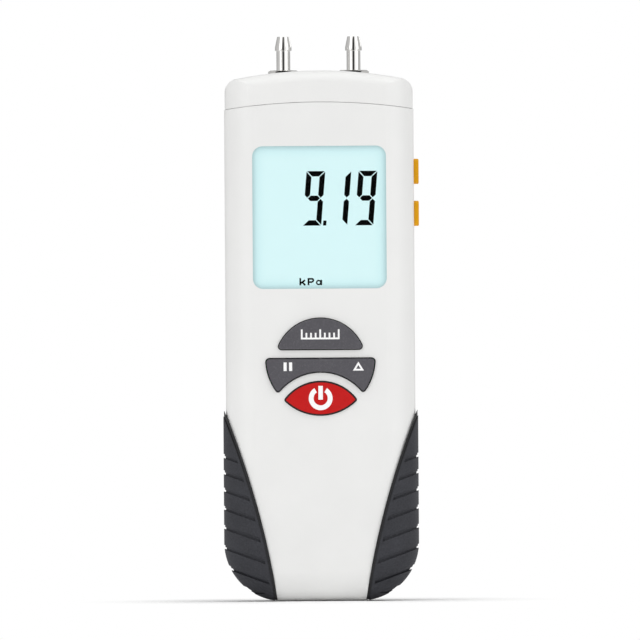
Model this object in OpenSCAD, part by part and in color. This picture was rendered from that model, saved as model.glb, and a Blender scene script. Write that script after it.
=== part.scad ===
// Hand-held digital manometer, standing upright on its lower end.
// Millimetres. +Z runs up its length, the display faces -Y, and +X is to the right of the display.
// The origin is the middle of its footprint on the surface it stands on.

/* [Body] */
// Width of the housing across its sides
body_w = 55; // [54:0.5:62]
// Depth of the housing from front to back
body_d = 31; // [30.5:0.5:36]
// Height of the top cover at its middle, above the foot
body_h = 154; // [150:1:170]
// Radius of the two lower corners, seen from the front
corner_r = 16.4; // [14:0.2:19]
// Radius of the long edges, seen from above
edge_r = 9; // [8:0.5:9.5]
// Wall thickness of the shells
wall = 2.2; // [2:0.1:2.6]
// Distance of the split between the two shells behind the middle plane
split_y = 3; // [2.4:0.2:4]
// Width of the shadow line where two shells meet
seam_gap = 0.1; // [0.1:0.05:0.3]

/* [Top cover] */
// Height of the cover above the seam, at its middle
cap_h = 9.2; // [8.6:0.2:11]
// Radius of the cover's crowned top
crown_r = 125; // [100:5:200]
// Radius of the arched seam under the cover
seam_r = 180; // [140:5:260]
// Radius of the cover's upper corners, seen from the front
cap_corner_r = 4; // [3:0.1:6]
// Radius of the cover's upper edges, seen from the side
cap_edge_r = 3.5; // [2.6:0.1:5]
// How far the cover's sides stand in from the housing's
cap_step = 0.2; // [0.1:0.05:0.4]
// Depth of the plug that reaches into the housing, below the seam's middle
plug_depth = 4.6; // [3.6:0.2:5]
// Wall thickness of that plug
plug_wall = 1.4; // [1.2:0.1:2]

/* [Grips] */
// How far the grips stand out of the housing
grip_proud = 0.8; // [0.7:0.1:1]
// How deep the grips sit in the housing
grip_embed = 1; // [0.8:0.1:1.2]
// Height where a grip's inner edge reaches the side
grip_h = 53.9; // [48:0.1:60]
// Width of a grip at the foot
grip_foot_w = 14.65; // [13:0.05:16]
// How far that edge bows towards the middle
grip_bow = 1.7; // [1:0.1:2.5]
// Distance from the battery door to a grip's edge on the back
grip_back_gap = 1.35; // [1:0.05:2.5]
// Distance from the back to the end of a grip's foot, which wraps round the lower edge
grip_wrap_gap = 2.5; // [2:0.5:6]
// Number of tread grooves in each grip
tread_count = 8; // [5:1:9]
// Height of the top groove at the outer edge
tread_top_z = 42.3; // [41:0.1:46]
// Distance from the top groove to the next
tread_pitch = 4.75; // [4.4:0.05:5.2]
// How much each further distance grows
tread_growth = 0.27; // [0.1:0.01:0.3]
// Width of a groove
tread_w = 1.2; // [1:0.1:1.4]
// Depth of a groove
tread_depth = 0.6; // [0.4:0.1:0.7]
// Width of the shallow step along a groove's upper side
tread_step_w = 0.5; // [0.3:0.05:0.6]
// Slope of the grooves, down towards the middle
tread_slope = 20; // [12:1:26]
// Plain rubber between a groove's end and the grip's inner edge
tread_margin = 1.6; // [1.4:0.1:3]
// Plain rubber along a grip's foot
tread_foot = 2.2; // [1.8:0.1:3]
// Width of the lower rim along a grip's inner edge
grip_rim_w = 0.8; // [0.6:0.1:1.2]
// How far that rim lies below the rest
grip_rim_drop = 0.2; // [0.15:0.05:0.3]

/* [Display] */
// Width of the display window
display_w = 38.8; // [36:0.2:40]
// Height of the display window
display_h = 41.4; // [38:0.2:42]
// Corner radius of the window
display_r = 3; // [2:0.2:4]
// Distance from the top of the cover down to the window
display_drop = 21.9; // [21.4:0.1:24]
// Thickness of the clear lens
lens_t = 1.2; // [0.8:0.1:1.4]
// How far the lens reaches behind the edge of the window
lens_lap = 1.8; // [1.4:0.1:2]
// Thickness of the liquid crystal glass
glass_t = 2.2; // [1.8:0.1:2.4]
// Thickness of the light guide behind the glass
backlight_t = 3; // [2.6:0.1:3.4]
// Height of a numeral
digit_h = 15.8; // [13:0.1:18]
// Width of a numeral
digit_w = 5.45; // [4.4:0.05:6.4]
// Distance from numeral to numeral
digit_pitch = 7.55; // [7.2:0.05:8]
// Stroke of a numeral
digit_stroke = 1.55; // [1:0.05:1.6]
// Lean of the numerals
digit_lean = 4.7; // [0:0.1:10]

/* [Front keys] */
// How far the keys stand out of the front
key_proud = 0.8; // [0.6:0.1:1]
// Travel of the two pushed keys
key_travel = 0.8; // [0.5:0.1:1]
// Running gap round a pushed key
key_clear = 0.25; // [0.2:0.05:0.3]
// Running gap round the rocking key
rocker_clear = 0.35; // [0.3:0.05:0.45]
// Distance from the window down to the half-round key
units_drop = 8.6; // [8:0.1:10]
// Radius of the half-round key
units_r = 13.2; // [12:0.1:13.6]
// Height of the half-round key
units_h = 9; // [8.6:0.1:10]
// Radius of the corners of the half-round key and of the rocking key's top
key_corner_r = 0.9; // [0.5:0.1:1.1]
// Radius of the tips of the rocking key and the power key
key_tip_r = 0.5; // [0.3:0.05:0.7]
// Distance between the half-round key and the rocking key
key_web = 2.75; // [2.3:0.05:3]
// Outer radius of the rocking key
rocker_r = 15.7; // [15:0.1:16]
// Height of the rocking key at its middle
rocker_neck = 3.7; // [3.5:0.1:5]
// Radius of the hollow under the rocking key
rocker_cut_r = 15.8; // [15:0.1:17]
// Distance between the rocking key and the power key
power_drop = 2.9; // [2.7:0.1:3.4]
// Height of the power key
power_h = 9.7; // [9:0.1:10.4]
// Radius of the power key's upper edge
power_top_r = 12.88; // [12:0.1:14]
// Radius of the power key's lower edge
power_low_r = 14.64; // [13:0.1:16]

/* [Side keys] */
// Height of a side key
side_key_h = 7.3; // [6.4:0.1:7.8]
// Depth of a side key, from front to back
side_key_d = 6.6; // [5.6:0.1:6.8]
// How far the side keys stand out
side_key_proud = 1.4; // [0.8:0.1:1.8]
// Travel of a side key
side_key_travel = 0.5; // [0.3:0.05:0.6]
// Distance from the top of the cover down to the upper side key's middle
side_key_drop = 29.4; // [27:0.2:32]
// Distance between the two side keys
side_key_pitch = 12.2; // [10.5:0.1:14]

/* [Ports] */
// Distance between the two hose ports
port_pitch = 20.4; // [20:0.2:24]
// Height of the ports above the top cover
port_rise = 10; // [9:0.5:14]
// Radius of the barb's widest ring
barb_r = 2.4; // [2.3:0.05:2.6]
// Length of that ring
barb_land = 0.9; // [0.6:0.1:1.4]
// Length of the cone above it
barb_cone = 3.2; // [2.4:0.1:3.6]
// Radius of the port's stem
stem_r = 2; // [1.8:0.05:2.2]
// Radius of the port's tip
tip_r = 1.75; // [1.6:0.05:1.9]
// Radius of the bore
port_bore_r = 1.2; // [1:0.05:1.3]
// Radius of the threaded shank
shank_r = 3; // [2.8:0.1:3.2]
// Radius over the corners of the nut
nut_r = 4.45; // [4.2:0.05:4.8]
// Height of the nut
nut_h = 1.5; // [1.2:0.1:2]
// How far the nut's seat lies below the cover's top
nut_drop = 1.3; // [1.2:0.1:1.5]

/* [Battery] */
// Diameter of a cell
cell_d = 10.5; // [10:0.1:10.6]
// Length of a cell
cell_l = 44.5; // [43:0.1:45]
// Gap between the cells
cell_gap = 0.3; // [0.2:0.05:0.4]
// Pressed length of a cell spring
spring_l = 3; // [2.6:0.1:3.6]
// Thickness of the door's foam pad
pad_t = 1; // [0.8:0.1:1.2]
// Width of the door's spring tongue
latch_w = 10; // [8:0.5:12]
// Height of the door's spring tongue
latch_h = 8.4; // [7:0.2:10]

/* [Hidden] */
$fn = 96;

// Colours
shell_color = [0.92, 0.92, 0.91];
grip_color = [0.17, 0.17, 0.19];
key_color = [0.34, 0.34, 0.36];
power_color = [0.78, 0.13, 0.12];
side_color = [0.88, 0.62, 0.12];
display_color = [0.84, 0.96, 0.97];
clear_color = [0.85, 0.95, 0.97, 0.35];
ink_color = [0.05, 0.05, 0.06];
nickel_color = [0.75, 0.75, 0.74];
steel_color = [0.62, 0.63, 0.65];
board_color = [0.1, 0.42, 0.24];
chip_color = [0.1, 0.1, 0.11];
milk_color = [0.93, 0.94, 0.9];
silicone_color = [0.8, 0.82, 0.83];
cell_color = [0.16, 0.3, 0.55];
foam_color = [0.25, 0.25, 0.26];
red_color = [0.75, 0.08, 0.06];

// How far a cutting shape runs past the surface that it cuts
overrun = 1;
// Gap between two pieces that are pushed together
snug = 0.05;
// Gap between two pieces that are placed side by side
loose = 0.15;

// Body
half_w = body_w / 2;
half_d = body_d / 2;
corner_x = half_w - corner_r;
face_y = -half_d;
back_y = half_d;
inner_face_y = face_y + wall;
inner_back_y = back_y - wall;
seam_z = body_h - cap_h;
seam_axis_z = seam_z - seam_r;
crown_axis_z = body_h - crown_r;

// Top cover
plug_out = wall + loose;
plug_in = plug_out + plug_wall;
plug_foot_z = seam_z - plug_depth;
cap_rim_h = 1.7;
cap_rim_z = seam_z + cap_rim_h;
cap_in = cap_step + wall;

// Grips
grip_foot_x = half_w - grip_foot_w;
grip_chord = sqrt(pow(half_w - grip_foot_x, 2) + pow(grip_h, 2));
grip_arc_r = (pow(grip_chord / 2, 2) + pow(grip_bow, 2)) / (2 * grip_bow);
grip_lean = atan2(half_w - grip_foot_x, grip_h);
grip_arc_x = (half_w + grip_foot_x) / 2 + (grip_arc_r - grip_bow) * cos(grip_lean);
grip_arc_z = grip_h / 2 - (grip_arc_r - grip_bow) * sin(grip_lean);
grip_reach_z = grip_h + grip_proud * grip_h / (half_w - grip_foot_x) + overrun;
tread_floor = grip_proud - tread_depth;
tread_step = grip_proud - tread_depth / 2;

// Display, from front to back
display_top = body_h - display_drop;
display_foot = display_top - display_h;
display_z = (display_top + display_foot) / 2;
lens_y = inner_face_y - lens_t;
frame_lip = 0.4;
frame_lap = 1.8;
frame_wall = 1;
frame_ledge = 5;
frame_half = display_w / 2 + frame_lap;
frame_top = display_top + frame_lap;
frame_foot = display_foot - frame_ledge;
frame_r = 1;
lip_reveal = 0.3;
glass_y = inner_face_y + frame_lip;
backlight_y = glass_y + glass_t;
board_y = backlight_y + backlight_t;
glass_half = frame_half - frame_wall - loose;
glass_top = frame_top - frame_wall - loose;
glass_foot = frame_foot + frame_wall + loose;
zebra_h = 2.2;
zebra_inset = 3;
zebra_gap = 0.6;
segment_t = 0.1;
segment_gap = 0.18;
digits_x = -4.95;
digits_drop = 23.1;
digits_z = display_top - digits_drop;
point_w = 0.95;
point_h = 1.45;
point_x = 1;

// Circuit board
board_t = 1.6;
board_back_y = board_y + board_t;
board_side = 2.8;
board_half = half_w - wall - board_side;
board_gap = 0.5;
board_screw_r = 0.8;
board_head_r = 1.6;
board_head_t = 0.9;
board_screw_l = 5;
board_post_r = 2;
board_top_post_in = 4.9;
board_low_post_in = 3.4;
board_top_margin = 2.5;
board_low_margin = 3;

// Screws that join the shells
screw_r = 1.1;
screw_bore_r = 1.15;
screw_free_r = 1.25;
screw_head_r = 2.1;
screw_head_t = 1.6;
screw_sink_r = 2.35;
screw_post_r = 2.6;
screw_sink_post_r = 3.4;
screw_seat = 5;
screw_bite = 7;
screw_in = 7.5;
screw_low_in = 6.5;
screw_top_drop = 7.6;
screw_low_drop = 24.7;
screw_top_x = half_w - screw_in;
screw_low_x = half_w - screw_low_in;
screw_top_z = seam_z - screw_top_drop;
screw_low_z = display_foot - screw_low_drop;
board_top_post_z = screw_top_z;
board_top_z = board_top_post_z + board_top_margin;
board_shoulder_z = screw_top_z - screw_post_r - board_gap;
board_mid_z = frame_foot - frame_wall;
board_low_half = screw_low_x - screw_post_r - board_gap;
board_top_half = screw_top_x - screw_post_r - board_gap;
board_low_post_x = board_low_half - board_low_post_in;
board_top_post_x = board_top_half - board_top_post_in;

// Front keys, from front to back and from top to bottom
key_y = face_y - key_proud;
flange_gap = 0.1;
flange_t = 0.9;
flange_out = 0.45;
flange_y = inner_face_y + flange_gap;
key_back_y = flange_y + flange_t;
key_face_t = 1.4;
key_wall = 1.2;
key_post_r = 2;
corner_cut = 3.4;
units_top = display_foot - units_drop;
units_z = units_top - units_r;
units_chord = units_top - units_h;
units_post_z = units_chord + units_h / 2;
rocker_top = units_chord - key_web;
rocker_mid_foot = rocker_top - rocker_neck;
rocker_cut_z = rocker_mid_foot - rocker_cut_r;
rocker_post_share = 0.605;
rocker_post_x = rocker_r * rocker_post_share;
rocker_post_z = (rocker_top + rocker_mid_foot) / 2 - rocker_neck / 2;
rocker_post_r = 1.6;
power_top = rocker_mid_foot - power_drop;
power_foot = power_top - power_h;
power_top_z = power_top - power_top_r;
power_low_z = power_foot + power_low_r;
power_post_z = (power_top + power_foot) / 2;

// Pin and ears of the rocking key
pin_r = 0.7;
pin_y = key_back_y + 1.3;
hub_r = 1.6;
ear_gap = 0.3;
ear_t = 1.1;
ear_half = 1.5;
ear_end = 1.4;

// Silicone mat under the front keys
mat_t = 1;
mat_y = board_y - mat_t;
mat_half = 14;
mat_reach = 4.2;
dome_foot_r = 3.2;
dome_top_r = 1.6;
board_low_post_z = power_foot - 1.7;
board_foot_z = board_low_post_z - board_low_margin;
mat_foot_z = board_low_post_z + board_post_r + ear_gap;
mat_top_z = units_post_z + mat_reach;

// Side keys and their switches
side_key_z = body_h - side_key_drop;
side_key_zs = [side_key_z, side_key_z - side_key_pitch];
switch_l = 6;
switch_h = 6;
switch_t = 4.2;
switch_in = 1;
switch_x = board_half - switch_in;
side_key_y = board_back_y + switch_t / 2;
side_key_r = 0.8;
side_clear = 0.25;
side_gap = 0.3;
side_flange_t = 0.9;
side_flange_out = 0.7;
side_flange_x = half_w - wall - side_gap - side_flange_t;
plunger_r = 1.25;
plunger_fit = 0.07;
plunger_out = 1.4;
plunger_in = 1.5;
plunger_end_x = switch_x + plunger_out;
side_post_r = 1.6;

// Ports and what they pass through
port_x = port_pitch / 2;
nut_seat_z = body_h - nut_drop;
nut_top_z = nut_seat_z + nut_h;
nut_fit = 0.05;
spot_r = nut_r + 0.35;
port_tip_z = body_h + port_rise;
barb_top_z = port_tip_z - barb_cone;
barb_foot_z = barb_top_z - barb_land;
pad_under = 3.7;
pad_z = nut_seat_z - pad_under;
pad_r = 5;
seal_r = 0.5;
port_flange_r = 4.4;
port_flange_t = 1.1;
port_flange_z = pad_z - 2 * seal_r;
port_flange_foot = port_flange_z - port_flange_t;
nipple_r = 1.55;
nipple_l = 5.4;
nipple_foot = port_flange_foot - nipple_l;

// Pressure sensor and hoses
sensor_half = 9;
sensor_h = 14;
sensor_drop = 24.8;
sensor_top = seam_z - sensor_drop;
sensor_lead = 2.1;
sensor_nipple_x = 5;
sensor_nipple_l = 5;
hose_bore_r = 1.7;
hose_r = 2.3;
hose_sides = 16;
hose_rings = 12;
hose_gap = 0.2;
hose_rest = 0.5;
hose_bend_z = sensor_top + sensor_nipple_l + hose_rest;
hose_bend_h = nipple_foot - hose_rest - hose_bend_z;
hose_shift = port_x - sensor_nipple_x;

// Battery tray
cell_r = cell_d / 2;
cell_pitch = cell_d + cell_gap;
cell_seat = 0.3;
cell_y = inner_back_y - pad_t - cell_seat - cell_r;
nub_r = 1.9;
nub_h = 0.8;
contact_t = 0.4;
contact_half = 4.2;
tray_side = 0.35;
tray_half = cell_pitch + cell_r + tray_side;
tray_wall = 1.6;
tray_end = 1.2;
tray_floor_t = 1.2;
tray_floor_y = cell_y - cell_r - 0.2;
tray_lip = 1.75;
ledge_drop = 0.1;
ledge_y = inner_back_y - ledge_drop;
door_clear = 0.25;
door_rise = 0.5;
door_foot_z = edge_r + door_rise;
tray_foot_z = door_foot_z - door_clear + tray_lip + tray_end;
tray_top_z = tray_foot_z + cell_l + spring_l + 2 * contact_t;
door_cover = 0.5;
door_top_z = tray_top_z + door_cover;
door_lap = 0.9;
door_half = tray_half + door_lap;
grip_back_x = door_half + door_clear + grip_back_gap;
grip_wrap_y = half_d - grip_wrap_gap;
end_wall_drop = 2.2;
end_wall_y = ledge_y - end_wall_drop;

// Door tabs and tongue
tab_x = 10;
tab_w = 6;
tab_in = 2.1;
tab_out = 0.4;
tab_down = 2.2;
tab_up = 1.3;
tab_root = 0.1;
latch_gap = 0.3;
hook_in = 0.9;
hook_out = 0.2;
hook_h = 1;
hook_root = 1;
latch_z = door_top_z - latch_h;
latch_top_z = door_top_z - 0.1;
rib_count = 3;
rib_pitch = 1.6;
rib_w = 0.7;
rib_h = 0.4;
pad_w = 24;
pad_h = 20;

// Cell springs
spring_wire_r = 0.3;
spring_foot_r = 3.7;
spring_tip_r = 2.4;
spring_turns = 2.5;
spring_rings = 30;
spring_sides = 6;

// Leads
lead_r = 0.6;
lead_bend_r = 3;
lead_rise = 1.5;
lead_run = 6.1;
tab_size = 3;
lead_y = board_back_y + lead_run + lead_bend_r;
lead_foot_z = tray_top_z + tray_end + contact_t;

// Where two circles meet whose centres stand above one another, at za and zb
function meet(za, ra, zb, rb) =
    let (z = (pow(ra, 2) - pow(rb, 2) + pow(zb, 2) - pow(za, 2)) / (2 * (zb - za)))
    [sqrt(pow(ra, 2) - pow(z - za, 2)), z];

// General shapes

// A flat outline seen from the front, in x and z, made solid from y0 to y1
module front_prism(y0, y1) {
    translate([0, y1, 0]) rotate([90, 0, 0]) linear_extrude(y1 - y0) children();
}

// A flat outline seen from above, made solid from z0 to z1
module plan_prism(z0, z1) {
    translate([0, 0, z0]) linear_extrude(z1 - z0) children();
}

// A round bar along y at x, z
module bar_y(x, z, r, y0, y1) {
    translate([x, y1, z]) rotate([90, 0, 0]) cylinder(r = r, h = y1 - y0);
}

// A box from its lowest to its highest corner
module block(low, high) {
    translate(low) cube(high - low);
}

// A rectangle with round corners, about the middle
module round_rect(w, h, r) {
    square([w - 2 * r, h], center = true);
    square([w, h - 2 * r], center = true);
    for (sx = [-1, 1], sy = [-1, 1])
        translate([sx * (w / 2 - r), sy * (h / 2 - r)]) circle(r = r);
}

// Half of the body's section, from a lower corner's axis out to the side
module corner_section(reach, hd, er) {
    intersection() {
        union() {
            translate([-reach, -hd]) square([2 * reach - er, 2 * hd]);
            translate([-reach, er - hd]) square([2 * reach, 2 * (hd - er)]);
            for (s = [-1, 1]) translate([reach - er, s * (hd - er)]) circle(r = er);
        }
        translate([0, -hd]) square([reach, 2 * hd]);
    }
}

// A standing slab with round long edges that run on round both lower corners
module slab(hw, hd, er, cr, foot, top) {
    cx = hw - cr;
    cz = foot + cr;
    plan_prism(cz, top) round_rect(2 * hw, 2 * hd, er);
    for (s = [0, 1])
        mirror([s, 0, 0]) translate([cx, 0, cz]) rotate([-90, 0, 0])
            rotate_extrude(angle = 90) corner_section(cr, hd, er);
    translate([-cx, 0, cz]) rotate([0, 90, 0]) linear_extrude(2 * cx) corner_section(cr, hd, er);
}

// The housing's outer form, with every surface moved in by inset
module body_form(inset, top) {
    slab(half_w - inset, half_d - inset, edge_r - inset, corner_r - inset, inset, top);
}

// The grips' form, with every surface moved out by out, down to the same foot as the body
module grip_form(out, top) {
    slab(half_w + out, half_d + out, edge_r + out, corner_r + out, grip_proud - out, top);
}

// All that lies below the arched seam, with the arc moved out by gap
module below_seam(gap) {
    translate([0, 0, seam_axis_z]) rotate([90, 0, 0])
        cylinder(r = seam_r + gap, h = 2 * body_d, center = true, $fn = 360);
}

// Top cover's form, with every surface moved in by inset
module crown_form(inset, foot) {
    hw = half_w - inset;
    hd = half_d - inset;
    er = cap_edge_r - inset + cap_step;
    cr = cap_corner_r - inset + cap_step;
    arc_r = crown_r - inset + cap_step;
    corner_cx = hw - cr;
    corner_cz = crown_axis_z + sqrt(pow(arc_r - cr, 2) - pow(corner_cx, 2));
    ray = [corner_cx, corner_cz - crown_axis_z] / (arc_r - cr) * 4 * cap_corner_r;
    intersection() {
        plan_prism(foot, body_h + overrun) round_rect(2 * hw, 2 * hd, edge_r - inset);
        translate([0, 0, crown_axis_z]) rotate([-90, 0, 0]) rotate_extrude($fn = 360) {
            translate([arc_r / 2, -hd]) square([arc_r / 2 - er, 2 * hd]);
            translate([arc_r / 2, er - hd]) square([arc_r / 2, 2 * (hd - er)]);
            for (s = [-1, 1]) translate([arc_r - er, s * (hd - er)]) circle(r = er, $fn = 96);
        }
        front_prism(-body_d, body_d) {
            translate([-hw, 0]) square([2 * hw, corner_cz]);
            polygon([
                [-corner_cx, corner_cz], [-corner_cx - ray[0], corner_cz + ray[1]],
                [corner_cx + ray[0], corner_cz + ray[1]], [corner_cx, corner_cz]
            ]);
            for (s = [-1, 1]) translate([s * corner_cx, corner_cz]) circle(r = cr);
        }
    }
}

// Housing

// Part of the housing's wall, between two planes
module wall_between(y0, y1) {
    intersection() {
        difference() {
            body_form(0, seam_z + overrun);
            body_form(wall, seam_z + 2 * overrun);
        }
        below_seam(0);
        block([-body_w, y0, -overrun], [body_w, y1, body_h]);
    }
}

// What is added inside the walls, cut off halfway through them
module inside_wall() {
    intersection() {
        children();
        body_form(wall / 2, seam_z);
    }
}

// The region of both grips, moved out by grow, in front of and behind the end of their foot
module grip_zone(grow) {
    for (s = [0, 1]) mirror([s, 0, 0]) {
        front_prism(-body_d, grip_wrap_y) grip_outline(grow, grip_foot_x - 2 * overrun);
        front_prism(grip_wrap_y, body_d) grip_outline(grow, grip_back_x - grow);
    }
}

// Outline of one grip, right of x0
module grip_outline(grow, x0) {
    intersection() {
        translate([grip_arc_x, grip_arc_z]) circle(r = grip_arc_r + grow, $fn = 360);
        translate([x0, -overrun]) square([body_w, grip_reach_z + overrun]);
    }
}

module grip_pockets() {
    difference() {
        grip_zone(snug);
        body_form(grip_embed, body_h);
    }
}

// Outline of a key with sharp corners, moved out by grow: 0 half-round, 1 rocking, 2 power
module sharp_outline(k, grow) {
    if (k == 0) intersection() {
        translate([0, units_z]) circle(r = units_r + grow);
        translate([-body_w, units_chord - grow]) square([2 * body_w, body_w]);
    }
    if (k == 1) difference() {
        intersection() {
            translate([0, rocker_top]) circle(r = rocker_r + grow);
            translate([-body_w, rocker_top + grow - body_w]) square([2 * body_w, body_w]);
        }
        translate([0, rocker_cut_z]) circle(r = rocker_cut_r - grow);
    }
    if (k == 2) intersection() {
        translate([0, power_top_z]) circle(r = power_top_r + grow);
        translate([0, power_low_z]) circle(r = power_low_r + grow);
    }
}

// Way from the middle of a corner's round to the edge that is a circle about x = 0
function way(c, z) = (c - [0, z]) / norm(c - [0, z]);

// A key's right-hand corners: each the round's middle and radius, and the ways from there to its two edges
function key_corners(k) =
    k == 0 ? let (r = key_corner_r, z = units_chord + r,
            c = [sqrt(pow(units_r - r, 2) - pow(z - units_z, 2)), z])
        [[c, r, [0, -1], way(c, units_z)]] :
    k == 1 ? let (r = key_corner_r, t = key_tip_r,
            c = [sqrt(pow(rocker_r - r, 2) - pow(r, 2)), rocker_top - r],
            d = meet(rocker_top, rocker_r - t, rocker_cut_z, rocker_cut_r + t))
        [[c, r, [0, 1], way(c, rocker_top)], [d, t, way(d, rocker_top), -way(d, rocker_cut_z)]] :
    let (t = key_tip_r, c = meet(power_top_z, power_top_r - t, power_low_z, power_low_r - t))
        [[c, t, way(c, power_top_z), way(c, power_low_z)]];

// Outline of a key, moved out by grow. Its corners are round where it isn't moved in
module key_outline(k, grow) {
    difference() {
        sharp_outline(k, grow);
        if (grow >= 0) for (c = key_corners(k), s = [0, 1]) mirror([s, 0])
            polygon([c[0], c[0] + corner_cut * c[2], c[0] + 2 * corner_cut * (c[2] + c[3]), c[0] + corner_cut * c[3]]);
    }
    if (grow >= 0) for (c = key_corners(k), s = [0, 1]) mirror([s, 0]) translate(c[0]) circle(r = c[1] + grow);
}

// Outline of a side key, seen from the side in y and z
module side_key_outline(grow) {
    round_rect(side_key_d + 2 * grow, side_key_h + 2 * grow, side_key_r + grow);
}

// A flat outline in y and z at the side key's place, made solid from x0 to x1
module side_prism(z, x0, x1) {
    translate([x0, side_key_y, z]) rotate([90, 0, 90]) linear_extrude(x1 - x0) children();
}

module ears() {
    for (z = [rocker_top + ear_gap, rocker_mid_foot - ear_gap - ear_t])
        block([-ear_half, inner_face_y - wall / 2, z], [ear_half, pin_y + ear_end, z + ear_t]);
}

module screw_places() {
    for (s = [-1, 1]) {
        translate([s * screw_top_x, 0, screw_top_z]) children();
        translate([s * screw_low_x, 0, screw_low_z]) children();
    }
}

module board_screw_places() {
    for (s = [-1, 1]) {
        translate([s * board_top_post_x, 0, board_top_post_z]) children();
        translate([s * board_low_post_x, 0, board_low_post_z]) children();
    }
}

module front_housing() color(shell_color) difference() {
    front_end_y = split_y - seam_gap / 2;
    union() {
        wall_between(-body_d, front_end_y);
        inside_wall() {
            screw_places() bar_y(0, 0, screw_post_r, face_y, front_end_y);
            board_screw_places() bar_y(0, 0, board_post_r, face_y, board_y);
            ears();
        }
    }
    front_prism(-body_d, inner_face_y)
        translate([0, display_z]) round_rect(display_w, display_h, display_r);
    front_prism(lens_y, inner_face_y + overrun) translate([0, display_z])
        round_rect(display_w + 2 * (lens_lap + snug), display_h + 2 * (lens_lap + snug), display_r);
    front_prism(inner_face_y, board_y) translate([-frame_half - loose, frame_foot - loose])
        square([2 * (frame_half + loose), frame_top - frame_foot + 2 * loose]);
    front_prism(-body_d, inner_face_y + snug) {
        key_outline(0, key_clear);
        key_outline(1, rocker_clear);
        key_outline(2, key_clear);
    }
    for (z = side_key_zs)
        side_prism(z, half_w - 2 * wall, half_w + wall) side_key_outline(side_clear);
    translate([0, pin_y, rocker_mid_foot - ear_gap - ear_t - overrun])
        cylinder(r = pin_r + snug, h = rocker_neck + 2 * (ear_gap + ear_t + overrun));
    screw_places() bar_y(0, 0, screw_bore_r, front_end_y - screw_bite - overrun, front_end_y + overrun);
    board_screw_places() bar_y(0, 0, board_screw_r + snug, board_y - board_screw_l + board_t, board_y + overrun);
    grip_pockets();
}

module rear_housing() color(shell_color) difference() {
    rear_end_y = split_y + seam_gap / 2;
    union() {
        wall_between(rear_end_y, body_d);
        inside_wall() {
            screw_places() bar_y(0, 0, screw_sink_post_r, rear_end_y, back_y);
            block([-tray_half - tray_wall, tray_floor_y - tray_floor_t, tray_foot_z - tray_end],
                [tray_half + tray_wall, back_y, tray_top_z + tray_end]);
        }
    }
    block([-door_half - door_clear, ledge_y, door_foot_z - door_clear],
        [door_half + door_clear, back_y + overrun, door_top_z + door_clear]);
    block([-tray_half, tray_floor_y, tray_foot_z], [tray_half, back_y, tray_top_z]);
    block([-tray_half, end_wall_y, tray_foot_z - tray_end - overrun], [tray_half, ledge_y + snug, tray_foot_z + snug]);
    block([-latch_w / 2 - 2 * latch_gap, ledge_y - hook_in - loose, tray_top_z - overrun],
        [latch_w / 2 + 2 * latch_gap, inner_back_y, tray_top_z + tray_end + overrun]);
    screw_places() {
        bar_y(0, 0, screw_free_r, rear_end_y - overrun, back_y);
        bar_y(0, 0, screw_sink_r, split_y + screw_seat, back_y + overrun);
    }
    grip_pockets();
}

module top_cap() color(shell_color) difference() {
    union() {
        difference() {
            union() {
                difference() {
                    crown_form(cap_step, plug_foot_z);
                    below_seam(seam_gap);
                }
                plan_prism(plug_foot_z, cap_rim_z)
                    round_rect(2 * (half_w - plug_out), 2 * (half_d - plug_out), edge_r - plug_out);
            }
            plan_prism(plug_foot_z - overrun, cap_rim_z + snug)
                round_rect(2 * (half_w - plug_in), 2 * (half_d - plug_in), edge_r - plug_in);
            crown_form(cap_in, cap_rim_z);
        }
        intersection() {
            for (s = [-1, 1]) translate([s * port_x, 0, pad_z]) cylinder(r = pad_r, h = 2 * pad_under);
            crown_form(cap_step + wall / 2, plug_foot_z);
        }
    }
    for (s = [-1, 1]) translate([s * port_x, 0, 0]) {
        plan_prism(pad_z - overrun, body_h + overrun) circle(r = shank_r + nut_fit);
        plan_prism(nut_seat_z, body_h + overrun) circle(r = spot_r);
    }
}

// Grips

// Height of a tread groove at the outer edge
function tread_z(i) = tread_top_z - i * tread_pitch - i * (i - 1) / 2 * tread_growth;

// The strips of all tread grooves, which reach down and in from the outer edge to x0, from height z0 to z1 in each groove
module tread_strips(z0, z1, x0) {
    intersection() {
        for (i = [0 : tread_count - 1]) {
            z = tread_z(i);
            reach = sqrt(pow(corner_r + grip_proud, 2) - pow(max(corner_r + grip_proud - z, 0), 2));
            translate([corner_x + reach, z]) rotate(tread_slope)
                translate([-body_w / 2, z0]) square([body_w, z1 - z0]);
        }
        grip_outline(-tread_margin, x0);
        translate([0, tread_foot]) square([body_w, body_h]);
    }
}

module tread_grooves(z0, z1) {
    front_prism(-body_d, split_y) tread_strips(z0, z1, grip_foot_x);
    front_prism(split_y, body_d) tread_strips(z0, z1, grip_back_x + tread_margin);
}

// What is cut off a grip where it is only out above the housing: outlines are the children
module grip_cut(out) {
    difference() {
        children();
        grip_form(out, body_h);
    }
}

module right_grip_form() {
    difference() {
        grip_form(grip_proud, grip_reach_z);
        body_form(grip_embed - snug, body_h);
        grip_cut(tread_floor) tread_grooves(-tread_w / 2, tread_w / 2 - tread_step_w);
        grip_cut(tread_step) tread_grooves(-tread_w / 2, tread_w / 2);
        grip_cut(grip_proud - grip_rim_drop) front_prism(-body_d, body_d) difference() {
            grip_outline(overrun, grip_foot_x - 2 * overrun);
            grip_outline(-grip_rim_w, grip_foot_x - 2 * overrun);
        }
    }
}

module grip() {
    intersection() {
        right_grip_form();
        union() {
            front_prism(-body_d, grip_wrap_y) grip_outline(0, grip_foot_x - overrun);
            front_prism(grip_wrap_y, body_d) grip_outline(0, grip_back_x);
        }
    }
}

module right_grip() color(grip_color) grip();

module left_grip() color(grip_color) mirror([1, 0, 0]) grip();

// Display

module display_lens() color(clear_color)
    front_prism(lens_y, inner_face_y) translate([0, display_z])
        round_rect(display_w + 2 * lens_lap, display_h + 2 * lens_lap, display_r);

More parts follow.
